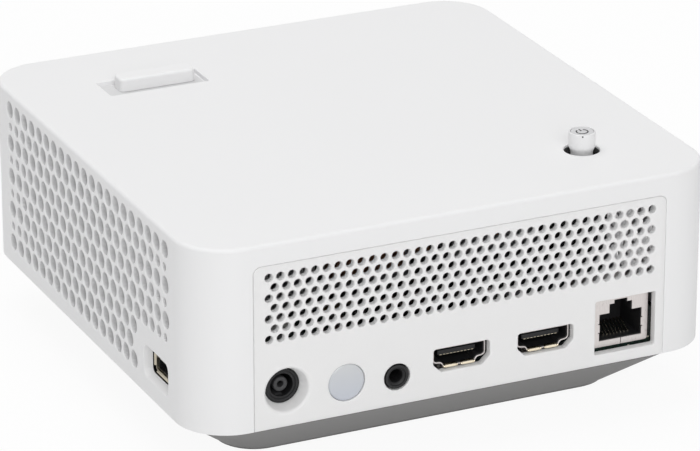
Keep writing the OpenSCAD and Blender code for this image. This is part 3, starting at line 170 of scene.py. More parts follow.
def within(ring, point):
    """Whether a point lies inside a closed outline."""
    crossed = 0
    for (ax, ay), (bx, by) in zip(ring, ring[1:] + ring[:1]):
        if (ay > point.y) != (by > point.y):
            crossed += ax + (point.y - ay) / (by - ay) * (bx - ax) > point.x
    return crossed % 2 == 1


class Mould:
    """Points in millimetres and faces that are cast as one piece."""

    def __init__(self):
        self.points, self.faces = [], []

    def row(self, points):
        """Takes points up and gives their numbers."""
        self.points += [tuple(p) for p in points]
        return list(range(len(self.points) - len(points), len(self.points)))

    def loft(self, rows, closed=True):
        """Joins rows of as many points each, one to the next."""
        rows = [self.row(points) for points in rows]
        for a, b in zip(rows, rows[1:]):
            for i in range(len(a) if closed else len(a) - 1):
                j = (i + 1) % len(a)
                self.faces.append((a[i], a[j], b[j], b[i]))
        return rows

    def solid(self, rows):
        """A loft with both its ends closed."""
        rows = self.loft(rows)
        self.faces += [tuple(rows[0]), tuple(rows[-1])]

    def sheet(self, outer, openings, place, depth):
        """Fills a flat outline round its openings, also round one that isn't convex."""
        rings = [outer] + openings
        flat = [Vector(p) for ring in rings for p in ring]
        edges, owner = [], []
        for which, ring in enumerate(rings):
            first = len(owner)
            edges += [(first + i, first + (i + 1) % len(ring)) for i in range(len(ring))]
            owner += [which] * len(ring)
        points, _, faces, origin, _, _ = geometry.delaunay_2d_cdt(flat, edges, [], 1, 1e-6)
        row = self.row([place(p.x, p.y, depth) for p in points])
        for face in faces:
            owners = {owner[origin[i][0]] for i in face}
            middle = sum((points[i] for i in face), Vector((0, 0))) / len(face)
            if len(owners) > 1 or 0 in owners or not within(rings[owners.pop()], middle):
                self.faces.append([row[i] for i in face])

    def well(self, shape, soft, far, place, depth, side=1):
        """The wall of an opening behind its soft edge; with side -1 the rim of a plate."""
        rows = []
        for t in quarter_turn(3):
            grow, down = side * soft * (1 - math.sin(t)), soft * (1 - math.cos(t))
            rows.append([place(u, v, down) for u, v in shape(grow)])
        self.loft(rows + [[place(u, v, depth) for u, v in far(0)]])

    def pierced(self, outer, inner, openings, place, depth):
        """A wall with its openings, each given as its shape, its soft edge and its far shape."""
        self.sheet(outer, [shape(soft) for shape, soft, far in openings], place, 0)
        for shape, soft, far in openings:
            self.well(shape, soft, far, place, depth)
        self.sheet(inner, [far(0) for shape, soft, far in openings], place, depth)

    def turn(self, profile, place, steps=64):
        """Turns a profile of (radius, height) pairs round an axis."""
        self.loft([[place(r * math.cos(t), r * math.sin(t), h) for t in full_turn(steps)]
                   for r, h in profile])

    def cast(self, name, paint, body, nodes=(), slot=None):
        """Makes the piece: on its body, in place of the nodes. The slot is not used."""
        mesh = bpy.data.meshes.new(name)
        mesh.from_pydata([Vector(p) / 1000 for p in self.points], [], self.faces)
        work = bmesh.new()
        work.from_mesh(mesh)
        bmesh.ops.remove_doubles(work, verts=work.verts, dist=1e-6)
        bmesh.ops.recalc_face_normals(work, faces=work.faces)
        work.to_mesh(mesh)
        work.free()
        mesh.polygons.foreach_set("use_smooth", [True] * len(mesh.polygons))
        mesh.set_sharp_from_angle(angle=math.radians(35))
        mesh.materials.append(paint)
        piece = bpy.data.objects.new(name, mesh)
        bpy.context.scene.collection.objects.link(piece)
        even = piece.modifiers.new("even_normals", "WEIGHTED_NORMAL")
        even.keep_sharp = True
        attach(piece, body)
        if nodes:
            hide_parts(*nodes)


def disc(x, y, r, steps=24):
    """A round outline, as a function of how far it is drawn out."""
    return lambda grow=0: [(x + (r + grow) * math.cos(t), y + (r + grow) * math.sin(t))
                           for t in full_turn(steps)]


def softened(corners, r, steps=5):
    """A convex outline with soft corners, as a function of how far it is drawn out."""
    corners = [Vector(c) for c in corners]

    def outline(grow=0):
        points = []
        for before, here, after in zip(corners[-1:] + corners, corners, corners[1:] + corners[:1]):
            a, b = (here - before).normalized(), (after - here).normalized()
            a, b = Vector((a.y, -a.x)), Vector((b.y, -b.x))
            middle = here - (a + b) * (r / (1 + a.dot(b)))
            start, sweep = math.atan2(a.y, a.x), math.acos(a.dot(b))
            for i in range(steps + 1):
                t = start + sweep * i / steps
                points.append((middle.x + (r + grow) * math.cos(t),
                               middle.y + (r + grow) * math.sin(t)))
        return points
    return outline


def oblong(x, y, w, h, r, steps=5):
    """A rectangle about x, y with soft corners, as a function like softened's."""
    return softened([(x - w / 2, y - h / 2), (x + w / 2, y - h / 2),
                     (x + w / 2, y + h / 2), (x - w / 2, y + h / 2)], r, steps)


def finish(name, surface, **fixed):
    """A material: fixed values stand on the shader's sockets, surface gives what varies."""
    paint = bpy.data.materials.new(name)
    paint.use_nodes = True
    shader = next(n for n in paint.node_tree.nodes if n.bl_idname == "ShaderNodeBsdfPrincipled")
    for socket, value in fixed.items():
        shader.inputs[socket.replace("_", " ")].default_value = value
    place = Wire(paint.node_tree).node("ShaderNodeTexCoord", output="Object")
    for socket, value in surface(place).items():
        paint.node_tree.links.new(value.socket, shader.inputs[socket])
    return paint


def grain(place, scale, detail=2.0, stretch=(1, 1, 1)):
    """Cloudy noise; scale is in lumps per metre."""
    place = place.node("ShaderNodeMapping", None, {"Vector": place, "Scale": stretch})
    return place.node("ShaderNodeTexNoise", None,
                      {"Vector": place, "Scale": scale, "Detail": detail})


def relief(height, distance, strength):
    """Small heights, in metres, for a shader's normal."""
    return height.node("ShaderNodeBump", None,
                       {"Height": height, "Distance": distance, "Strength": strength})


def spark_plastic(tone, spread, roughness):
    """Plastic moulded in an eroded steel tool: a fine matt grain and a slow change of tone."""
    dark = tuple(c - spread for c in tone) + (1,)
    light = tuple(min(1, c + spread) for c in tone) + (1,)

    def surface(place):
        fine, slow = grain(place, 3200, 3), grain(place, 22, 3)
        return {"Base Color": (fine * 0.6 + slow * 0.4).between(dark, light),
                "Roughness": roughness + fine * 0.12,
                "Normal": relief(fine, 0.00002, 0.45)}
    return surface


shell_paint = finish("white_spark_plastic", spark_plastic((0.845, 0.845, 0.85), 0.012, 0.46),
                     IOR=1.49)
shell_half, shell_foot, shell_brow, shell_top, shell_wall = 74.0, 16.2, 65.5, 66.5, 2.2
shell_corner, corner_steps, shell_soft = 14.0, 12, 1.0
shell_ceiling = shell_top - shell_wall
# the lens axis, the button and the centres of the windows and ports, each in its own wall
axis_x, axis_z = -35.5, 38
button_x, button_y = 46.7, -48.6
front_eye_x, front_eye_z = 20, 30
rear_eye_x, rear_eye_z = -32.7, 25
inlet_x, inlet_z = -49.2, 26
jack_x, jack_z = -18.6, 23.9
video_places, video_z = (-0.3, 23.8), 26.2
net_x, net_z = 47, 26.75
usb_y, usb_z = -47.5, 25.5


def square_loop(half_x, half_y, r, z):
    """A square outline with round corners, from the rear's right end round to its left end."""
    points = []
    for quarter, (sx, sy) in enumerate(((1, -1), (1, 1), (-1, 1), (-1, -1))):
        for i in range(corner_steps + 1):
            t = math.radians(-90 + 90 * quarter + 90 * i / corner_steps)
            points.append((sx * (half_x - r) + r * math.cos(t),
                           sy * (half_y - r) + r * math.sin(t), z))
    return points


def shell_loop(inset, z):
    return square_loop(shell_half - inset, shell_half - inset, shell_corner - inset, z)


def side_holes(clear):
    """Round holes of a side wall. The three lowest rows stop short of the socket."""
    top_z, rise, pitch, full_r = 61.4, 4.84, 5.43, 2.3
    crowding, shrinking, soft_share = 0.118, 0.47, 0.15
    holes = []
    for k in range(9):
        z = top_z - rise * k
        if k % 2 == 0:
            row = [(pitch * i, full_r) for i in range(-10, 11)]
        else:
            row = [(side * (pitch * (i + 0.5) - crowding * max(0, i - 5) ** 2),
                    full_r * (1 - shrinking * (max(0, i - 5) / 5) ** 2))
                   for side in (-1, 1) for i in range(11)]
        holes += [(disc(y, z, r), soft_share * r, disc(y, z, r))
                  for y, r in row if k < 6 or y - r > clear]
    return holes


notch_half, notch_r, notch_x, notch_z = 58.3, 2, 56.3, 58.8


def notch(grow):
    """The cut-out for the rear panel, from its lower left round to its lower right."""
    points = [(-notch_half - grow, shell_foot)]
    for side, turn in ((-1, 180), (1, 90)):
        for i in range(7):
            t = math.radians(turn - 15 * i)
            points.append((side * notch_x + (notch_r + grow) * math.cos(t),
                           notch_z + (notch_r + grow) * math.sin(t)))
    return points + [(notch_half + grow, shell_foot)]


shell = Mould()
run = shell_half - shell_corner
wall_outer = [(-run, shell_foot), (run, shell_foot), (run, shell_brow), (-run, shell_brow)]
wall_inner = [(-run, shell_foot), (run, shell_foot), (run, shell_ceiling), (-run, shell_ceiling)]
usb_mouth = (oblong(usb_y, usb_z, 16, 9, 2.2), 0.22, oblong(usb_y, usb_z, 14.4, 7, 1.4))
lens_hole, front_eye_hole = disc(axis_x, axis_z, 17, 96), disc(front_eye_x, front_eye_z, 4, 40)
shell.pierced(wall_outer, wall_inner, side_holes(usb_y + 12) + [usb_mouth],
              lambda u, v, d: (-shell_half + d, u, v), shell_wall)
shell.pierced(wall_outer, wall_inner, side_holes(-2 * shell_half),
              lambda u, v, d: (shell_half - d, u, v), shell_wall)
shell.pierced(wall_outer, wall_inner,
              [(lens_hole, 0.5, lens_hole), (front_eye_hole, 0.25, front_eye_hole)],
              lambda u, v, d: (u, shell_half - d, v), shell_wall)
# the rear wall round the cut-out, whose edge is soft
notch_soft = 0.3
for outline, soft, depth in ((wall_outer, notch_soft, 0), (wall_inner, 0, shell_wall)):
    ring = [outline[2], outline[3], outline[0]] + notch(soft) + [outline[1]]
    shell.sheet(ring, [], lambda u, v, d: (u, -shell_half + d, v), depth)
shell.loft([[(u, -shell_half + notch_soft * (1 - math.cos(t)), v)
             for u, v in notch(notch_soft * (1 - math.sin(t)))] for t in quarter_turn(3)]
           + [[(u, -shell_half + shell_wall, v) for u, v in notch(0)]], closed=False)
# the round corners, outside and inside
for within_by, top in ((0, shell_brow), (shell_wall, shell_ceiling)):
    low, high = shell_loop(within_by, shell_foot), shell_loop(within_by, top)
    for first in range(0, len(low), corner_steps + 1):
        last = first + corner_steps + 1
        shell.loft([low[first:last], high[first:last]], closed=False)
# the soft edge round the top
shell.loft([shell_loop(shell_soft * (1 - math.cos(t)), shell_brow + shell_soft * math.sin(t))
            for t in quarter_turn(5)])
# the top, with the recess of the focus lever, the slot in its floor and the button's hole
recess, recess_depth = oblong(axis_x, 45.5, 28.7, 10.9, 0.8), 1.3
neck_slot = oblong(-35.95, 47.5, 13.5, 3.5, 0.6)
button_hole = disc(button_x, button_y, 4.75, 64)


def at_top(u, v, d):
    return (u, v, shell_top - d)


shell.sheet([p[:2] for p in shell_loop(shell_soft, 0)], [recess(0.3), button_hole(0.35)],
            at_top, 0)
shell.well(recess, 0.3, recess, at_top, recess_depth)
shell.sheet(recess(), [neck_slot(0.15)], at_top, recess_depth)
shell.loft([[at_top(u, v, d) for u, v in neck_slot(grow)]
            for grow, d in ((0.15, recess_depth), (0, recess_depth + 0.15), (0, shell_wall))])
shell.well(button_hole, 0.35, button_hole, at_top, shell_wall)
shell.sheet([p[:2] for p in shell_loop(shell_wall, 0)], [neck_slot(), button_hole()],
            at_top, shell_wall)
# the lower edge that meets the base
shell.loft([[(half, y, shell_foot)] + shell_loop(within_by, shell_foot) + [(-half, y, shell_foot)]
            for half, y, within_by in ((notch_half + notch_soft, -shell_half, 0),
                                       (notch_half, -shell_half + shell_wall, shell_wall))],
           closed=False)
shell.cast("shell", shell_paint, "case", ["upper_shell"], "white_shell")


# ---- Rear panel ---------------------------------------------------------------------------
# White insert let into the shell's rear wall. Seven staggered rows of small holes let the
# air out above the ports, each port has its own opening, the power inlet a funnel.

panel_paint = finish("panel_plastic", spark_plastic((0.845, 0.843, 0.843), 0.012, 0.42), IOR=1.49,
                     Subsurface_Weight=0.6, Subsurface_Scale=0.0012, Subsurface_Radius=(1, 1, 1))
panel = Mould()
panel_gap, panel_soft = 0.05, 0.2


def at_rear(u, v, d):
    return (u, -shell_half + d, v)


def panel_outline(grow=0):
    """Round at its two upper corners and square where it meets the base."""
    g = grow - panel_gap
    points = [(-notch_half - g, shell_foot), (notch_half + g, shell_foot)]
    for side, turn in ((1, 0), (-1, 90)):
        for i in range(7):
            t = math.radians(turn + 15 * i)
            points.append((side * notch_x + (notch_r + g) * math.cos(t),
                           notch_z + (notch_r + g) * math.sin(t)))
    return points


def video_outline(x, w, h):
    """Outline of a video socket's opening: its two lower corners are cut off."""
    cut = h / 3
    return [(x - w / 2 + cut, video_z - h / 2), (x + w / 2 - cut, video_z - h / 2),
            (x + w / 2, video_z - h / 2 + cut), (x + w / 2, video_z + h / 2),
            (x - w / 2, video_z + h / 2), (x - w / 2, video_z - h / 2 + cut)]


air_pitch, air_rise, air_top_z, air_r, air_soft, air_taper = 3.18, 2.8, 57.5, 1.15, 0.16, 0.1
air_holes = []
for k in range(7):
    half_count = 17 if k % 2 == 0 else 16.5
    for i in range(int(2 * half_count) + 1):
        air_holes.append(disc(air_pitch * (i - half_count), air_top_z - air_rise * k, air_r, 20))
openings = [(disc(jack_x, jack_z, 3.65, 48), 0.3), (disc(rear_eye_x, rear_eye_z, 5.1, 64), 0.25)]
openings += [(softened(video_outline(x, 16.1, 6.5), 1.0), 0.35) for x in video_places]
openings.append((oblong(net_x, net_z, 17.6, 15, 0.5), 0.3))
# the panel is thinner where the small holes are
thin_field, thin_wall = oblong(0, 48.85, 112.6, 19.9, 0.6), 1.6
mouth_r, collar_r = 6.68, 6.7
inlet_mouth, inlet_collar = (disc(inlet_x, inlet_z, r, 64) for r in (mouth_r, collar_r))

panel.sheet(panel_outline(-panel_soft), [hole(air_soft) for hole in air_holes]
            + [shape(soft) for shape, soft in openings] + [inlet_mouth()], at_rear, 0)
panel.well(panel_outline, panel_soft, panel_outline, at_rear, shell_wall, side=-1)
for shape, soft in openings:
    panel.well(shape, soft, shape, at_rear, shell_wall)
for hole in air_holes:
    panel.well(hole, air_soft, lambda grow, hole=hole: hole(grow - air_taper), at_rear, thin_wall)
panel.sheet(thin_field(), [hole(-air_taper) for hole in air_holes], at_rear, thin_wall)
panel.loft([[at_rear(u, v, d) for u, v in thin_field()] for d in (thin_wall, shell_wall)])
panel.sheet(panel_outline(),
            [thin_field(), inlet_collar()] + [shape() for shape, soft in openings],
            at_rear, shell_wall)
panel.turn([(mouth_r, 0), (6.5, 0.03), (6.36, 0.12), (6.0, 0.42), (5.88, 0.6), (4.86, 3.3),
            (4.8, 3.6), (collar_r, 3.6), (collar_r, shell_wall)],
           lambda u, v, h: at_rear(u + inlet_x, v + inlet_z, h))
panel.cast("panel", panel_paint, "case", ["rear_panel"], "white_panel")


# ---- Base cover ---------------------------------------------------------------------------
# Grey moulded tray that draws in towards the table. Its underside has four recesses for the
# feet, four for the case screws, and the hole over the tripod thread.

base_paint = finish("grey_spark_plastic", spark_plastic((0.168, 0.165, 0.163), 0.01, 0.5),
                    IOR=1.49)
base = Mould()
base_edge, base_draft, base_under = 1.3, 14.4, 0.8


def base_loop(inset, z):
    """The tray's section; it draws in from its upper edge down to its lower edge."""
    t = min(1, max(0, (z - base_edge) / base_draft))
    return square_loop(55.8 + 17.65 * t - inset, 54.3 + 19.15 * t - inset,
                       10.6 + 9.4 * t - inset, z)


base.loft([base_loop(inset, z)
           for inset, z in ((1.2, 16.2), (0.2, 16.2), (0.05, 16.15), (0, 16), (0, 15.7),
                            (0, base_edge), (0.1, 1.0), (0.35, 0.85), (0.6, base_under))])
feet_spots = [(x, y) for x in (-45, 45) for y in (-44, 44)]
screw_spots = [(47, 33), (47, -34), (-47, -34), (-10, 33)]
feet_holes = [disc(x, y, 6.1, 48) for x, y in feet_spots]
screw_holes = [(disc(x, y, 3.2, 32), disc(x, y, 1.6, 32)) for x, y in screw_spots]
tripod_hole = disc(0, 4, 4.82, 48)
hole_soft, foot_depth, head_depth, screw_depth, tripod_depth = 0.25, 1.0, 2.6, 16, 9.4


def from_below(u, v, d):
    return (u, v, base_under + d)


base.sheet([p[:2] for p in base_loop(0.6, base_under)],
           [hole(hole_soft) for hole in feet_holes]
           + [head(hole_soft) for head, shaft in screw_holes] + [tripod_hole(hole_soft)],
           from_below, 0)
for hole in feet_holes:
    base.well(hole, hole_soft, hole, from_below, foot_depth)
    base.sheet(hole(), [], from_below, foot_depth)
for head, shaft in screw_holes:
    base.well(head, hole_soft, head, from_below, head_depth)
    base.sheet(head(), [shaft()], from_below, head_depth)
    base.well(shaft, 0, shaft, from_below, screw_depth)
base.well(tripod_hole, hole_soft, tripod_hole, from_below, tripod_depth)
base.cast("tray", base_paint, "case", ["base_cover"], "grey_base")


# ---- Rubber feet --------------------------------------------------------------------------
# Four soft discs pressed into their recesses; only the lowest 0.8 mm stands out.

rubber_paint = finish("foot_rubber", lambda place: {
    "Base Color": grain(place, 900, 4).between((0.012, 0.012, 0.013, 1), (0.03, 0.03, 0.031, 1)),
    "Roughness": 0.72 + grain(place, 500) * 0.2,
    "Normal": relief(grain(place, 2500, 3), 0.00004, 0.6)}, IOR=1.5)
feet = Mould()
for x, y in feet_spots:
    feet.turn([(0, 0.12), (2.6, 0.12), (2.9, 0), (5.3, 0), (5.8, 0.12), (6, 0.5), (6, 1.78),
               (0, 1.78)], lambda u, v, h: (x + u, y + v, h), 48)
feet.cast("feet", rubber_paint, "case", ["rubber_feet"], "rubber")


# ---- Focus lever --------------------------------------------------------------------------
# White tab that slides in its recess, over a grey sheet on the recess floor that paints the
# recess's shade. A neck joins it to a keeper plate under the top, and the fork below takes
# the ball of the focus ring.

lever_paint = finish("lever_plastic", spark_plastic((0.85, 0.85, 0.855), 0.012, 0.4), IOR=1.49)
lever = Mould()
tab, tab_foot, tab_brow, tab_soft = oblong(-34.35, 47.2, 21.9, 5.8, 1.4, 6), 65.3, 68.2, 0.7
lever.solid([[(u, v, tab_foot) for u, v in tab(0)]]
            + [[(u, v, tab_brow + tab_soft * math.sin(t))
                for u, v in tab(-tab_soft * (1 - math.cos(t)))] for t in quarter_turn(6)])
neck = oblong(axis_x, 47.5, 8, 3, 0.3)
lever.solid([[(u, v, z) for u, v in neck()] for z in (63.8, 65.6)])
keeper = oblong(axis_x, 47.25, 19.2, 7.5, 0.5)
lever.solid([[(u, v, z) for u, v in keeper(grow)]
             for grow, z in ((-0.2, 63.1), (0, 63.3), (0, 64), (-0.2, 64.2))])
fork = [(-4, 58.2), (-1.58, 58.2), (-1.58, 62.4), (1.58, 62.4), (1.58, 58.2), (4, 58.2),
        (4, 63.2), (-4, 63.2)]
lever.solid([[(axis_x + x, y, z) for x, z in fork] for y in (43.5, 47.5)])
lever.cast("lever", lever_paint, "lever", ["focus_lever"], "white_shell")

# a grey sheet laid on the recess floor: painted shade of the recess
recess_shade_paint = finish("painted_recess_shade", spark_plastic((0.68, 0.68, 0.685), 0.01, 0.5), IOR=1.45)
recess_shade_sheet = Mould()
shade_sheet_rim, shade_sheet_slot = recess(-0.35), neck_slot(0.3)
shade_sheet_depths = (recess_depth, recess_depth - 0.03)
for ring in (shade_sheet_rim, shade_sheet_slot):
    recess_shade_sheet.loft([[at_top(u, v, d) for u, v in ring] for d in shade_sheet_depths])
for depth in shade_sheet_depths:
    recess_shade_sheet.sheet(shade_sheet_rim, [shade_sheet_slot], at_top, depth)
recess_shade_sheet.cast("recess_shade_sheet", recess_shade_paint, "case", slot="white_shell")


# ---- Joystick button ----------------------------------------------------------------------
# White cap with a grey plate let into its top and a thin gap round it. A plain on and off
# mark is printed on the plate, a tiny status dot on the rim; a black rubber ring lines the
# hole and paints the shade in the gap round the cap.

cap_paint = finish("cap_plastic", spark_plastic((0.84, 0.84, 0.845), 0.012, 0.38), IOR=1.49)
cap = Mould()


def at_button(u, v, h):
    return (button_x + u, button_y + v, h)


cap.turn([(0, 62.1), (5.15, 62.1), (5.25, 62.2), (5.25, 62.8), (5.15, 62.9), (3.05, 62.9),
          (2.9, 63.05), (2.9, 65.7), (2.98, 66.2), (3.2, 66.75), (3.42, 67.2), (3.53, 67.7),
          (3.55, 68.2)]
         + [(3.3 + 0.25 * math.cos(t), 71.35 + 0.25 * math.sin(t)) for t in quarter_turn(5)]
         + [(3.24, 71.58), (3.2, 71.5), (3.2, 70.9), (0, 70.9)], at_button, 72)
cap.cast("cap", cap_paint, "stick", ["button_cap"], "white_shell")

# a black rubber ring inside the button's hole: painted shade of the gap round the cap
gap_shade_ring = Mould()
gap_shade_ring.turn([(4.74, 65.85), (4.45, 65.8), (4.4, 65.7), (4.4, 64.35), (4.74, 64.3), (4.74, 65.85)],
          at_button, 64)
gap_shade_ring.cast("gap_shade_ring", rubber_paint, "case", slot="black_plastic")

plate_paint = finish("cap_plate", spark_plastic((0.62, 0.62, 0.63), 0.012, 0.35), IOR=1.49)
plate = Mould()
plate.turn([(0, 70.95), (3.05, 70.95), (3.05, 71.38), (2.98, 71.45), (2.4, 71.4), (1.2, 71.36),
            (0, 71.35)], at_button, 72)
plate.cast("plate", plate_paint, "stick", slot="white_shell")

mark_paint = finish("mark_print", lambda place: {
    "Base Color": grain(place, 4000).between((0.02, 0.02, 0.021, 1), (0.04, 0.04, 0.042, 1)),
    "Roughness": 0.5 + grain(place, 3000) * 0.1})
mark, mark_foot, mark_face = Mould(), 71.3, 71.42
arc_start, arc_sweep, arc_steps = 34, 292, 40
mark.solid([[at_button(r * math.sin(t), r * math.cos(t), h)
             for r, h in ((1.33, mark_foot), (1.72, mark_foot), (1.72, mark_face),
                          (1.33, mark_face))]
            for t in [math.radians(arc_start + arc_sweep * i / arc_steps)
                      for i in range(arc_steps + 1)]])
mark.solid([[at_button(x, y, h)
             for x, y in ((-0.18, 0.5), (0.18, 0.5), (0.18, 1.75), (-0.18, 1.75))]
            for h in (mark_foot, mark_face)])
dot_x, dot_y = -0.421, -0.907
mark.turn([(0, 3.4), (0.22, 3.4), (0.22, 3.57), (0, 3.57)],
          lambda u, v, h: at_button(-dot_y * u + dot_x * h, dot_x * u + dot_y * h, 71.2 + v), 20)
mark.cast("mark", mark_paint, "stick", slot="black_plastic")


# ---- Infrared windows ---------------------------------------------------------------------
# Round plugs of tinted plastic in front of the remote control's receivers: milky lilac in
# the rear panel, nearly black in the front wall.


def milky_surface_lit_from_above(place):
    """Cloudy lilac plastic with painted light: lighter and greyer towards its top, 20 to 30 mm up.
    """
    height = (place.node("ShaderNodeSeparateXYZ", None, {"Vector": place}, 2) - 0.02) * 100
    # painted light from above: the tone turns lighter and greyer with height
    tone = height.between((0.52, 0.55, 0.62, 1), (0.6, 0.615, 0.63, 1))
    cloud = grain(place, 60, 2)
    return {"Base Color": (cloud * 0.1).between(tone, (0.7, 0.71, 0.72, 1)),
            "Roughness": 0.2 + grain(place, 300, 3) * 0.08,
            "Normal": relief(grain(place, 500, 2), 0.00001, 0.3)}


lilac_paint = finish("milky_lilac", milky_surface_lit_from_above, IOR=1.5, Coat_Weight=0.4)
rear_eye = Mould()
rear_eye.turn([(0, -73.98), (2.5, -73.95), (4.0, -73.88), (4.6, -73.8), (4.85, -73.68),
               (5.0, -73.5), (5.0, -71.8), (6.1, -71.8), (6.1, -70.8), (0, -70.8)],
              lambda u, v, h: (rear_eye_x + u, h, rear_eye_z + v), 64)
rear_eye.cast("rear_eye", lilac_paint, "case", ["rear_ir_window"], "lilac_window")

smoke_paint = finish("smoked_window", lambda place: {
    "Base Color": grain(place, 80, 2).between((0.012, 0.006, 0.009, 1), (0.02, 0.009, 0.013, 1)),
    "Roughness": 0.08 + grain(place, 400, 3) * 0.05,
    "Normal": relief(grain(place, 500, 2), 0.00001, 0.2)}, IOR=1.52, Coat_Weight=0.5)
front_eye = Mould()
front_eye.turn([(0, 73.98), (2.4, 73.95), (3.3, 73.88), (3.7, 73.75), (3.85, 73.5), (3.85, 71.8),
                (5.2, 71.8), (5.2, 70.5), (0, 70.5)],
               lambda u, v, h: (front_eye_x + u, h, front_eye_z + v), 56)
front_eye.cast("front_eye", smoke_paint, "case", ["front_ir_window"], "dark_window")


# ---- Lens ---------------------------------------------------------------------------------
# A black funnel with light-catching steps lines the hole in the front wall. Behind it the
# front element, with its purple-green coating, sits in the sliding cell with two black rings.


def grained(dark, light, scale, rough, bump=0.00002, stretch=(1, 1, 1)):
    """A surface whose tone, gloss and height all follow one cloudy grain."""
    def surface(place):
        lumps = grain(place, scale, 4, stretch)
        return {"Base Color": lumps.between(dark + (1,), light + (1,)),
                "Roughness": rough[0] + lumps * (rough[1] - rough[0]),
                "Normal": relief(lumps, bump, 0.6)}
    return surface


black_paint = finish("black_plastic", grained((0.008, 0.008, 0.009), (0.018, 0.018, 0.019), 2600,
                                              (0.42, 0.6)), IOR=1.4)


def on_axis(u, v, h):
    return (axis_x + u, h, axis_z + v)


bezel = Mould()
bezel_r, step_depth, step_draw = 16.85, 1.55, 0.42
bezel_profile = [(bezel_r, 64.1), (bezel_r, 70.6), (19, 70.6), (19, 71.8), (bezel_r, 71.8),
                 (bezel_r, 73.45), (16.6, 73.68), (16.3, 73.7), (15.8, 73.68), (15.5, 73.5)]
for i in range(5):
    y = 73.0 - step_depth * i
    wide = 15.4 - step_draw * i
    bezel_profile += [(wide, y), (wide + 0.25, y - 0.2), (wide + 0.25, y - 0.75),
                      (wide - 0.3, y - 0.95)]
bezel_profile += [(13.0, 65.8), (13.0, 64.1), (bezel_r, 64.1)]
bezel.turn(bezel_profile, on_axis, 96)
bezel.cast("bezel", black_paint, "case", ["lens_bezel"], "black_plastic")

coated = finish("coated_element", lambda place: {
    "Base Color": grain(place, 40, 2).between((0.86, 0.9, 0.93, 1), (0.9, 0.88, 0.95, 1)),
    "Roughness": 0.015 + grain(place, 200, 2) * 0.02}, Transmission_Weight=1.0, IOR=1.52,
    Coat_Weight=0.3, Coat_Tint=(0.75, 0.7, 1.0, 1))
glass_r, ring_r = 10.7, 9.52


def element(mould, y, edge, back, front):
    """A round glass whose two faces bulge by back and front."""
    steps, profile = 12, []
    for bulge, base_y, sign in ((back, y, -1), (front, y + edge, 1)):
        sphere_r = (glass_r * glass_r + bulge * bulge) / (2 * bulge)
        half = []
        for i in range(steps + 1):
            r = glass_r * i / steps
            rise = math.sqrt(sphere_r * sphere_r - r * r) - sphere_r + bulge
            half.append((r, base_y + sign * rise))
        profile += half if sign < 0 else half[::-1]
    mould.turn(profile, on_axis, 72)


glasses = Mould()
element(glasses, 49.8, 1.6, 1.4, 1.2)
element(glasses, 56.6, 2, 1, 2.6)
glasses.cast("elements", coated, "cell", ["front_lenses"], "optical_glass")
rings = Mould()
rings.turn([(glass_r, 51.42), (glass_r, 56.58), (ring_r, 56.58), (ring_r, 51.42),
            (glass_r, 51.42)], on_axis, 72)
rings.turn([(glass_r, 58.62), (glass_r, 60.2), (10.3, 60.2), (ring_r, 59.6), (ring_r, 58.62),
            (glass_r, 58.62)], on_axis, 72)
rings.cast("element_rings", black_paint, "cell", slot="black_plastic")


# ---- Power inlet --------------------------------------------------------------------------
# Black moulded inlet set deep behind the panel: a ring round its bore, a hollow post for the
# plug's pin, and a bent side contact below the post.

inlet = Mould()


def at_inlet(u, v, h):
    return (u + inlet_x, h, v + inlet_z)


housing = [(-5.5, -6), (5.5, -6), (5.5, 4.5), (3.2, 4.5), (1.7, 5.2), (0, 5.5), (-1.7, 5.2),
           (-3.2, 4.5), (-5.5, 4.5)]
housing_face, housing_back, bore_floor = -70.2, -58.3, -60.5
bore_r, bore_steps = 3.15, 48
inlet.sheet(housing, [disc(0, 0, bore_r, bore_steps)()], at_inlet, housing_face)
inlet.loft([[at_inlet(u, v, h) for u, v in housing] for h in (housing_face, housing_back)])
inlet.sheet(housing, [], at_inlet, housing_back)
inlet.turn([(bore_r, housing_face), (bore_r, bore_floor), (0, bore_floor)], at_inlet, bore_steps)
inlet.turn([(3.16, -69), (3.3, -69.4), (3.82, -70.4), (3.9, -70.54), (4.02, -70.6), (4.36, -70.6),
            (4.52, -70.56), (4.6, -70.4), (4.6, -69), (3.16, -69)], at_inlet, 64)
inlet.cast("inlet", black_paint, "case", ["dc_jack"], "black_plastic")

post_paint = finish("post_plastic", grained((0.03, 0.03, 0.032), (0.05, 0.05, 0.052), 2600,
                                            (0.4, 0.55)), IOR=1.45)
post = Mould()
post.turn([(0, -63.3), (0.8, -63.3), (0.8, -69.25), (0.9, -69.5), (1.1, -69.62), (1.6, -69.68),
           (1.85, -69.6), (2.0, -69.4), (2.05, -69.1), (2.05, -60.3), (0, -60.3)],
          at_inlet, bore_steps)
side_contact = [(-69.2, -3.0), (-68.6, -2.62), (-66, -2.5), (-62, -2.75), (-62, -3.0),
                (-66, -2.75), (-68.6, -2.87)]
post.solid([[at_inlet(u, v, h) for h, v in side_contact] for u in (-1.5, 0.6)])
post.cast("post", post_paint, "case", ["dc_pin"], "black_plastic")


# ---- Headphone jack -----------------------------------------------------------------------
# Black jack whose nose stands flush in the panel, with a bevelled bore.

jack = Mould()


def at_jack(u, v, h):
    return (u + jack_x, h, v + jack_z)


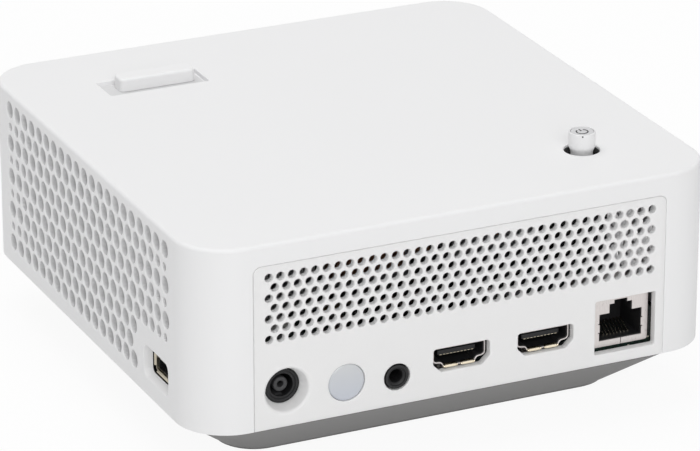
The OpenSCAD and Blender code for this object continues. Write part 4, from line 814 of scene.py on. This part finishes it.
jack_case = [(-4, -3.9), (4, -3.9), (4, 3.5), (-4, 3.5)]
jack_face, jack_back, plug_floor, plug_r, plug_steps = -71.8, -59.8, -60.8, 1.8, 40
jack.sheet(jack_case, [disc(0, 0, plug_r, plug_steps)()], at_jack, jack_face)
jack.loft([[at_jack(u, v, h) for u, v in jack_case] for h in (jack_face, jack_back)])
jack.sheet(jack_case, [], at_jack, jack_back)
jack.turn([(plug_r, jack_face), (plug_r, plug_floor), (0, plug_floor)], at_jack, plug_steps)
jack.turn([(plug_r, jack_face), (plug_r, -73.0), (1.9, -73.2), (2.3, -73.45), (2.42, -73.55),
           (2.48, -73.8), (2.58, -73.92), (2.75, -73.96), (3.05, -73.96), (3.2, -73.88),
           (3.27, -73.7), (3.27, jack_face), (plug_r, jack_face)], at_jack, 64)
jack.cast("jack", black_paint, "case", ["headphone_jack"], "black_plastic")


# ---- Video sockets ------------------------------------------------------------------------
# Two tinned sleeves of folded sheet with stepped lower corners. A black insert with its
# contact tongue fills each, a thin black sleeve inside paints the shade of the tinned inner
# walls, and two sprung lips stand at the lower edge of each mouth.

tinned = finish("tinned_steel", grained((0.56, 0.52, 0.51), (0.78, 0.74, 0.72), 700, (0.2, 0.42),
                                        stretch=(6, 1, 1)), Metallic=1.0)
gilt = finish("gold_plate", grained((0.78, 0.68, 0.5), (0.94, 0.86, 0.7), 900, (0.16, 0.3)),
              Metallic=1.0)


def inset(ring, g):
    """Draws a closed outline in, with its corners kept."""
    drawn = []
    for before, here, after in zip(ring[-1:] + ring, ring, ring[1:] + ring[:1]):
        a, b = Vector(here) - Vector(before), Vector(after) - Vector(here)
        a, b = Vector((-a.y, a.x)).normalized(), Vector((-b.y, b.x)).normalized()
        drawn.append(Vector(here) + (a + b) * (g / (1 + a.dot(b))))
    return drawn


def cup(mould, ring, thick, place, mouth, floor, lip=0.08):
    """A sleeve with a rounded mouth, closed at its far end."""
    rows = [(0, floor + thick), (0, mouth + lip), (lip, mouth), (thick - lip, mouth),
            (thick, mouth + lip), (thick, floor)]
    mould.loft([[place(u, v, d) for u, v in inset(ring, g)] for g, d in rows])
    mould.sheet(inset(ring, 0), [], place, floor + thick)
    mould.sheet(inset(ring, thick), [], place, floor)


def block(mould, low, high):
    """A plain block between two corners, for feet that nobody sees into."""
    mould.solid([[(low[0], low[1], z), (high[0], low[1], z), (high[0], high[1], z),
                  (low[0], high[1], z)] for z in (low[2], high[2])])


def ball(mould, place, r):
    mould.turn([(r * math.sin(t), -r * math.cos(t)) for t in [math.pi * i / 8 for i in range(9)]],
               place, 12)


plate_wall, board_face = 0.35, 20.02
right_half = [(4.5, -2.75), (4.72, -2.35), (4.95, -1.95), (5.3, -1.68), (5.8, -1.58), (6.4, -1.53),
              (6.9, -1.4), (7.28, -1.08), (7.47, -0.68), (7.5, -0.3), (7.5, 2.1), (7.42, 2.45),
              (7.2, 2.67), (6.85, 2.75)]
video_ring = right_half + [(-u, v) for u, v in reversed(right_half)]
# a thin black sleeve just inside the tinned one: painted shade of its inner walls
shade_sleeve_ring = inset(video_ring, plate_wall + 0.01)
tongue_ring = oblong(0, 0.66, 10.8, 1.3, 0.25, 3)()
pad = [(-0.3, -0.04), (0.3, -0.04), (0.3, 0.06), (-0.3, 0.06)]
# the sprung lips are drawn as depth and height; each is folded from strip 0.16 mm thick
lip_line = [(1.45, -2.85), (1.5, -2.6), (1.75, -2.32), (2.2, -2.2), (2.9, -2.24), (4.2, -2.55)]
lip_ring = [(d + 0.03, v - 0.16) for d, v in lip_line] + lip_line[::-1]
lip_x, lip_half, ear_r = 2.45, 1.8, 0.34
shells, tongues, springs = Mould(), Mould(), Mould()
for x in video_places:
    def at_video(u, v, d):
        return (x + u, d - shell_half, v + video_z)

    cup(shells, video_ring, plate_wall, at_video, 1.7, 11.6)
    block(shells, (x - 5, -69.6, board_face), (x + 5, -61.3, 23.6))
    cup(tongues, shade_sleeve_ring, 0.16, at_video, 2.15, 11.2)
    tongues.solid([[at_video(u, v, d) for u, v in inset(tongue_ring, g)]
                   for g, d in ((0.1, 3.3), (0, 3.4), (0, 11.3))])
    for k in range(10):
        springs.solid([[at_video(k - 4.5 + u, v, d) for u, v in pad] for d in (3.28, 7.2)])
    for middle in (-lip_x, lip_x):
        springs.solid([[at_video(middle + u, v, d) for d, v in inset(lip_ring, g)]
                       for u, g in ((-lip_half - 0.05, 0.04), (-lip_half, 0), (lip_half, 0),
                                    (lip_half + 0.05, 0.04))])
        for end in (-lip_half, lip_half):
            ball(springs, lambda u, v, h: at_video(middle + end + u, v - 2.6, 1.62 + h), ear_r)
shells.cast("shells", tinned, "case", ["video_sockets"], "plated_shell")
tongues.cast("tongues", black_paint, "case", ["video_tongues"], "black_plastic")
springs.cast("springs", gilt, "case", ["socket_springs"], "plated_contact")


# ---- Network socket -----------------------------------------------------------------------
# Tinned box whose face is folded to meet in a thin split under the opening, with a sprung
# tab cut free at each side. The black insert behind it holds eight slanted wires.

net = Mould()


def at_net(u, v, d):
    return (u + net_x, d - 71.4, v + net_z)


face_rim = oblong(0, 0, 16, 13.5, 0.75, 6)()
# the right-hand side of the opening, from its foot up, with the tab between two nicks
side_x, nick_x, tab_x = 6.2, 6.5, 6.05
side_up = [(side_x, -5), (side_x, -2.85), (nick_x, -2.85), (nick_x, -2.6), (tab_x, -2.6),
           (tab_x, -0.35), (nick_x, -0.35), (nick_x, -0.1), (side_x, -0.1), (side_x, 2.5),
           (3.3, 2.5), (3.3, 5), (1.9, 5), (1.9, 6)]
# one outline round the face and its opening, joined through the split
first_corner = len(face_rim) // 4
split_left, split_right, face_foot, mouth_foot = 0.13, 0.27, -6.75, -5
face_ring = ([(split_right, face_foot)] + face_rim[first_corner:] + face_rim[:first_corner]
             + [(split_left, face_foot), (split_left, mouth_foot)]
             + [(-u, v) for u, v in side_up] + side_up[::-1] + [(split_right, mouth_foot)])
face_soft = 0.05
net.loft([[at_net(u, v, d) for u, v in inset(face_ring, g)]
          for g, d in ((face_soft, 0), (0, 0.06), (0, plate_wall))])
net.sheet(inset(face_ring, face_soft), [], at_net, 0)
net.sheet(face_ring, [], at_net, plate_wall)
cup(net, face_rim, plate_wall, at_net, 0.3, 15.1, 0.02)
earth_spring = [(0, 1), (0.25, 1.6), (0.3, 4), (0.2, 6.8), (0, 7)]
for side in (-1, 1):
    for v in (-3, 3):
        net.solid([[at_net(side * (8 + out), v + w, d) for out, d in earth_spring]
                   for w in (-1.2, 1.2)])
net.cast("net_box", tinned, "case", ["network_socket"], "plated_shell")

net_insert = Mould()
insert_rim = oblong(0, 0, 15.2, 12.7, 0.5, 3)()
insert_face, insert_floor, insert_back = 0.4, 11.3, 15.05
mouth_side = [(6, -4.8), (6, 2.5), (3.1, 2.5), (3.1, 4.8), (1.7, 4.8), (1.7, 5.8)]
mouth_ring = mouth_side + [(-u, v) for u, v in reversed(mouth_side)]
net_insert.sheet(insert_rim, [mouth_ring], at_net, insert_face)
for ring, depth in ((mouth_ring, insert_floor), (insert_rim, insert_back)):
    net_insert.loft([[at_net(u, v, d) for u, v in ring] for d in (insert_face, depth)])
    net_insert.sheet(ring, [], at_net, depth)
net_insert.cast("net_insert", black_paint, "case", ["network_insert"], "black_plastic")

wires, wire_pitch = Mould(), 1.02
wire_section = [(-0.17, 0), (0.17, 0), (0.17, 0.25), (-0.17, 0.25)]
for k in range(8):
    wires.solid([[at_net(wire_pitch * (k - 3.5) + u, v + w, d) for u, w in wire_section]
                 for d, v in ((2.6, -4.78), (3.1, -4.5), (6.6, -2.6), (7.0, -2.5))])
wires.cast("wires", gilt, "case", slot="plated_contact")


# ---- Side socket --------------------------------------------------------------------------
# Brass sleeve behind the opening in the left wall. Its four edges are flared into lips that
# guide the plug, with gaps at the corners; deeper in, a thin black sleeve paints the shade inside.

usb = Mould()


def at_usb(u, v, d):
    return (d - shell_half, u + usb_y, v + usb_z)


usb_ring = oblong(0, 0, 13.1, 5.7, 0.75, 4)()
cup(usb, usb_ring, plate_wall, at_usb, 2.75, 16, 0.05)
# a lip's section, as depth and way outwards, stands at each side, out from the middle by far
flare = [(3.1, 0), (2.8, 0.1), (2.5, 0.3), (2.35, 0.55)]
flare_ring = [(d + 0.16, o + 0.1) for d, o in flare] + flare[::-1]
for quarters, far, half in ((0, 6.2, 1.65), (1, 2.5, 5.35), (2, 6.2, 1.65), (3, 2.5, 5.35)):
    c, n = math.cos(math.pi / 2 * quarters), math.sin(math.pi / 2 * quarters)
    usb.solid([[at_usb(c * (far + o) - n * w, n * (far + o) + c * w, d)
                for d, o in inset(flare_ring, g)]
               for w, g in ((-half, 0.03), (-half + 0.1, 0), (half - 0.1, 0), (half, 0.03))])
block(usb, (-65, -52.5, board_face), (-57.6, -42.5, 22.8))
brassy = finish("sprung_brass", grained((0.4, 0.36, 0.28), (0.62, 0.57, 0.47), 700, (0.22, 0.42),
                                        stretch=(6, 1, 1)), Metallic=1.0)
usb.cast("usb_sleeve", brassy, "case", ["usb_socket"], "plated_shell")
# a thin black sleeve from 3.5 mm deep: painted shade inside the brass sleeve
usb_shade_sleeve = Mould()
cup(usb_shade_sleeve, inset(usb_ring, plate_wall + 0.01), 0.14, at_usb, 3.5, 15.7, 0.04)
usb_shade_sleeve.cast("usb_painted_shade_sleeve", black_paint, "case", slot="black_plastic")


# ---- Inner parts --------------------------------------------------------------------------
# The light engine, the lens works, the fans, the speakers, the boards and the switch keep
# the shapes of the frame and get the finish of their real material.

metal = {"Metallic": 1.0}
finishes = {
    "black_plastic": black_paint,
    "white_insert": finish("socket_insert", grained((0.7, 0.7, 0.69), (0.8, 0.8, 0.79), 1800,
                                                    (0.35, 0.5)), IOR=1.5),
    "rubber": rubber_paint,
    "brass": finish("turned_brass", grained((0.62, 0.42, 0.16), (0.8, 0.58, 0.27), 1500,
                                            (0.22, 0.4), stretch=(1, 1, 8)), **metal),
    "dark_steel": finish("blackened_steel", grained((0.12, 0.12, 0.13), (0.22, 0.22, 0.23), 1300,
                                                    (0.3, 0.5)), **metal),
    "spring_steel": finish("spring_steel", grained((0.5, 0.5, 0.52), (0.68, 0.68, 0.7), 900,
                                                   (0.2, 0.35), stretch=(1, 6, 1)), **metal),
    "optical_glass": coated,
    "engine_casting": finish("die_casting", grained((0.2, 0.2, 0.21), (0.34, 0.34, 0.35), 700,
                                                    (0.45, 0.65), 0.00005), Metallic=0.7),
    "coated_glass": finish("dichroic_coating", grained((0.35, 0.2, 0.55), (0.25, 0.5, 0.6), 60,
                                                       (0.03, 0.08), 0.000002),
                           Metallic=0.4, Coat_Weight=0.5),
    "chip_ceramic": finish("chip_ceramic", grained((0.3, 0.27, 0.36), (0.38, 0.35, 0.43), 2200,
                                                   (0.4, 0.55))),
    "aluminium": finish("brushed_aluminium", grained((0.62, 0.62, 0.63), (0.8, 0.8, 0.81), 1100,
                                                     (0.28, 0.45), stretch=(1, 1, 14)), **metal),
    "black_aluminium": finish("black_anodised", grained((0.02, 0.02, 0.022),
                                                        (0.045, 0.045, 0.048), 1600,
                                                        (0.35, 0.5)), Metallic=0.6),
    "led_board": finish("led_board", grained((0.72, 0.72, 0.68), (0.8, 0.8, 0.77), 1200,
                                             (0.3, 0.45))),
    "copper": finish("copper", grained((0.62, 0.28, 0.16), (0.85, 0.46, 0.3), 160,
                                       (0.22, 0.42)), **metal),
    "cone_paper": finish("cone_paper", grained((0.02, 0.02, 0.021), (0.07, 0.07, 0.072), 2400,
                                               (0.75, 0.9), 0.00008)),
    "chip_black": finish("chip_resin", grained((0.012, 0.012, 0.013), (0.028, 0.028, 0.03), 4200,
                                               (0.4, 0.6), 0.00001)),
    "plated_contact": gilt,
    "plated_shell": tinned,
}


def board_surface(place):
    """Solder mask over copper: thin tracks and small pads show through the lacquer."""
    cells = place.node("ShaderNodeTexBrick", {"offset": 0.37, "squash": 1.0},
                       {"Vector": place, "Scale": 240.0, "Mortar Size": 0.06,
                        "Mortar Smooth": 0.1}, 1)
    pads = place.node("ShaderNodeTexVoronoi", None, {"Vector": place, "Scale": 420.0}) < 0.16
    mask = cells.between((0.006, 0.016, 0.012, 1), (0.012, 0.034, 0.024, 1))
    return {"Base Color": pads.between(mask, (0.7, 0.66, 0.55, 1)),
            "Roughness": 0.35 + grain(place, 800) * 0.2,
            "Normal": relief(cells, 0.00003, 0.5)}


def ribbon_surface(place):
    """Flat cable: narrow conductors under a clear film."""
    lanes = place.node("ShaderNodeTexWave", {"bands_direction": "Y"},
                       {"Vector": place, "Scale": 320.0, "Distortion": 0.0})
    return {"Base Color": lanes.between((0.62, 0.6, 0.55, 1), (0.82, 0.81, 0.78, 1)),
            "Roughness": 0.3 + lanes * 0.2,
            "Normal": relief(lanes, 0.00004, 0.6)}


finishes["circuit_board"] = finish("circuit_board", board_surface)
finishes["flat_cable"] = finish("flat_cable", ribbon_surface)
slots = {part["node"]: part["material_slot"] for part in frame["record"]["subparts"]}
for name, node in frame["nodes"].items():
    if slots[name] in finishes:
        for holder in node.material_slots:
            holder.material = finishes[slots[name]]
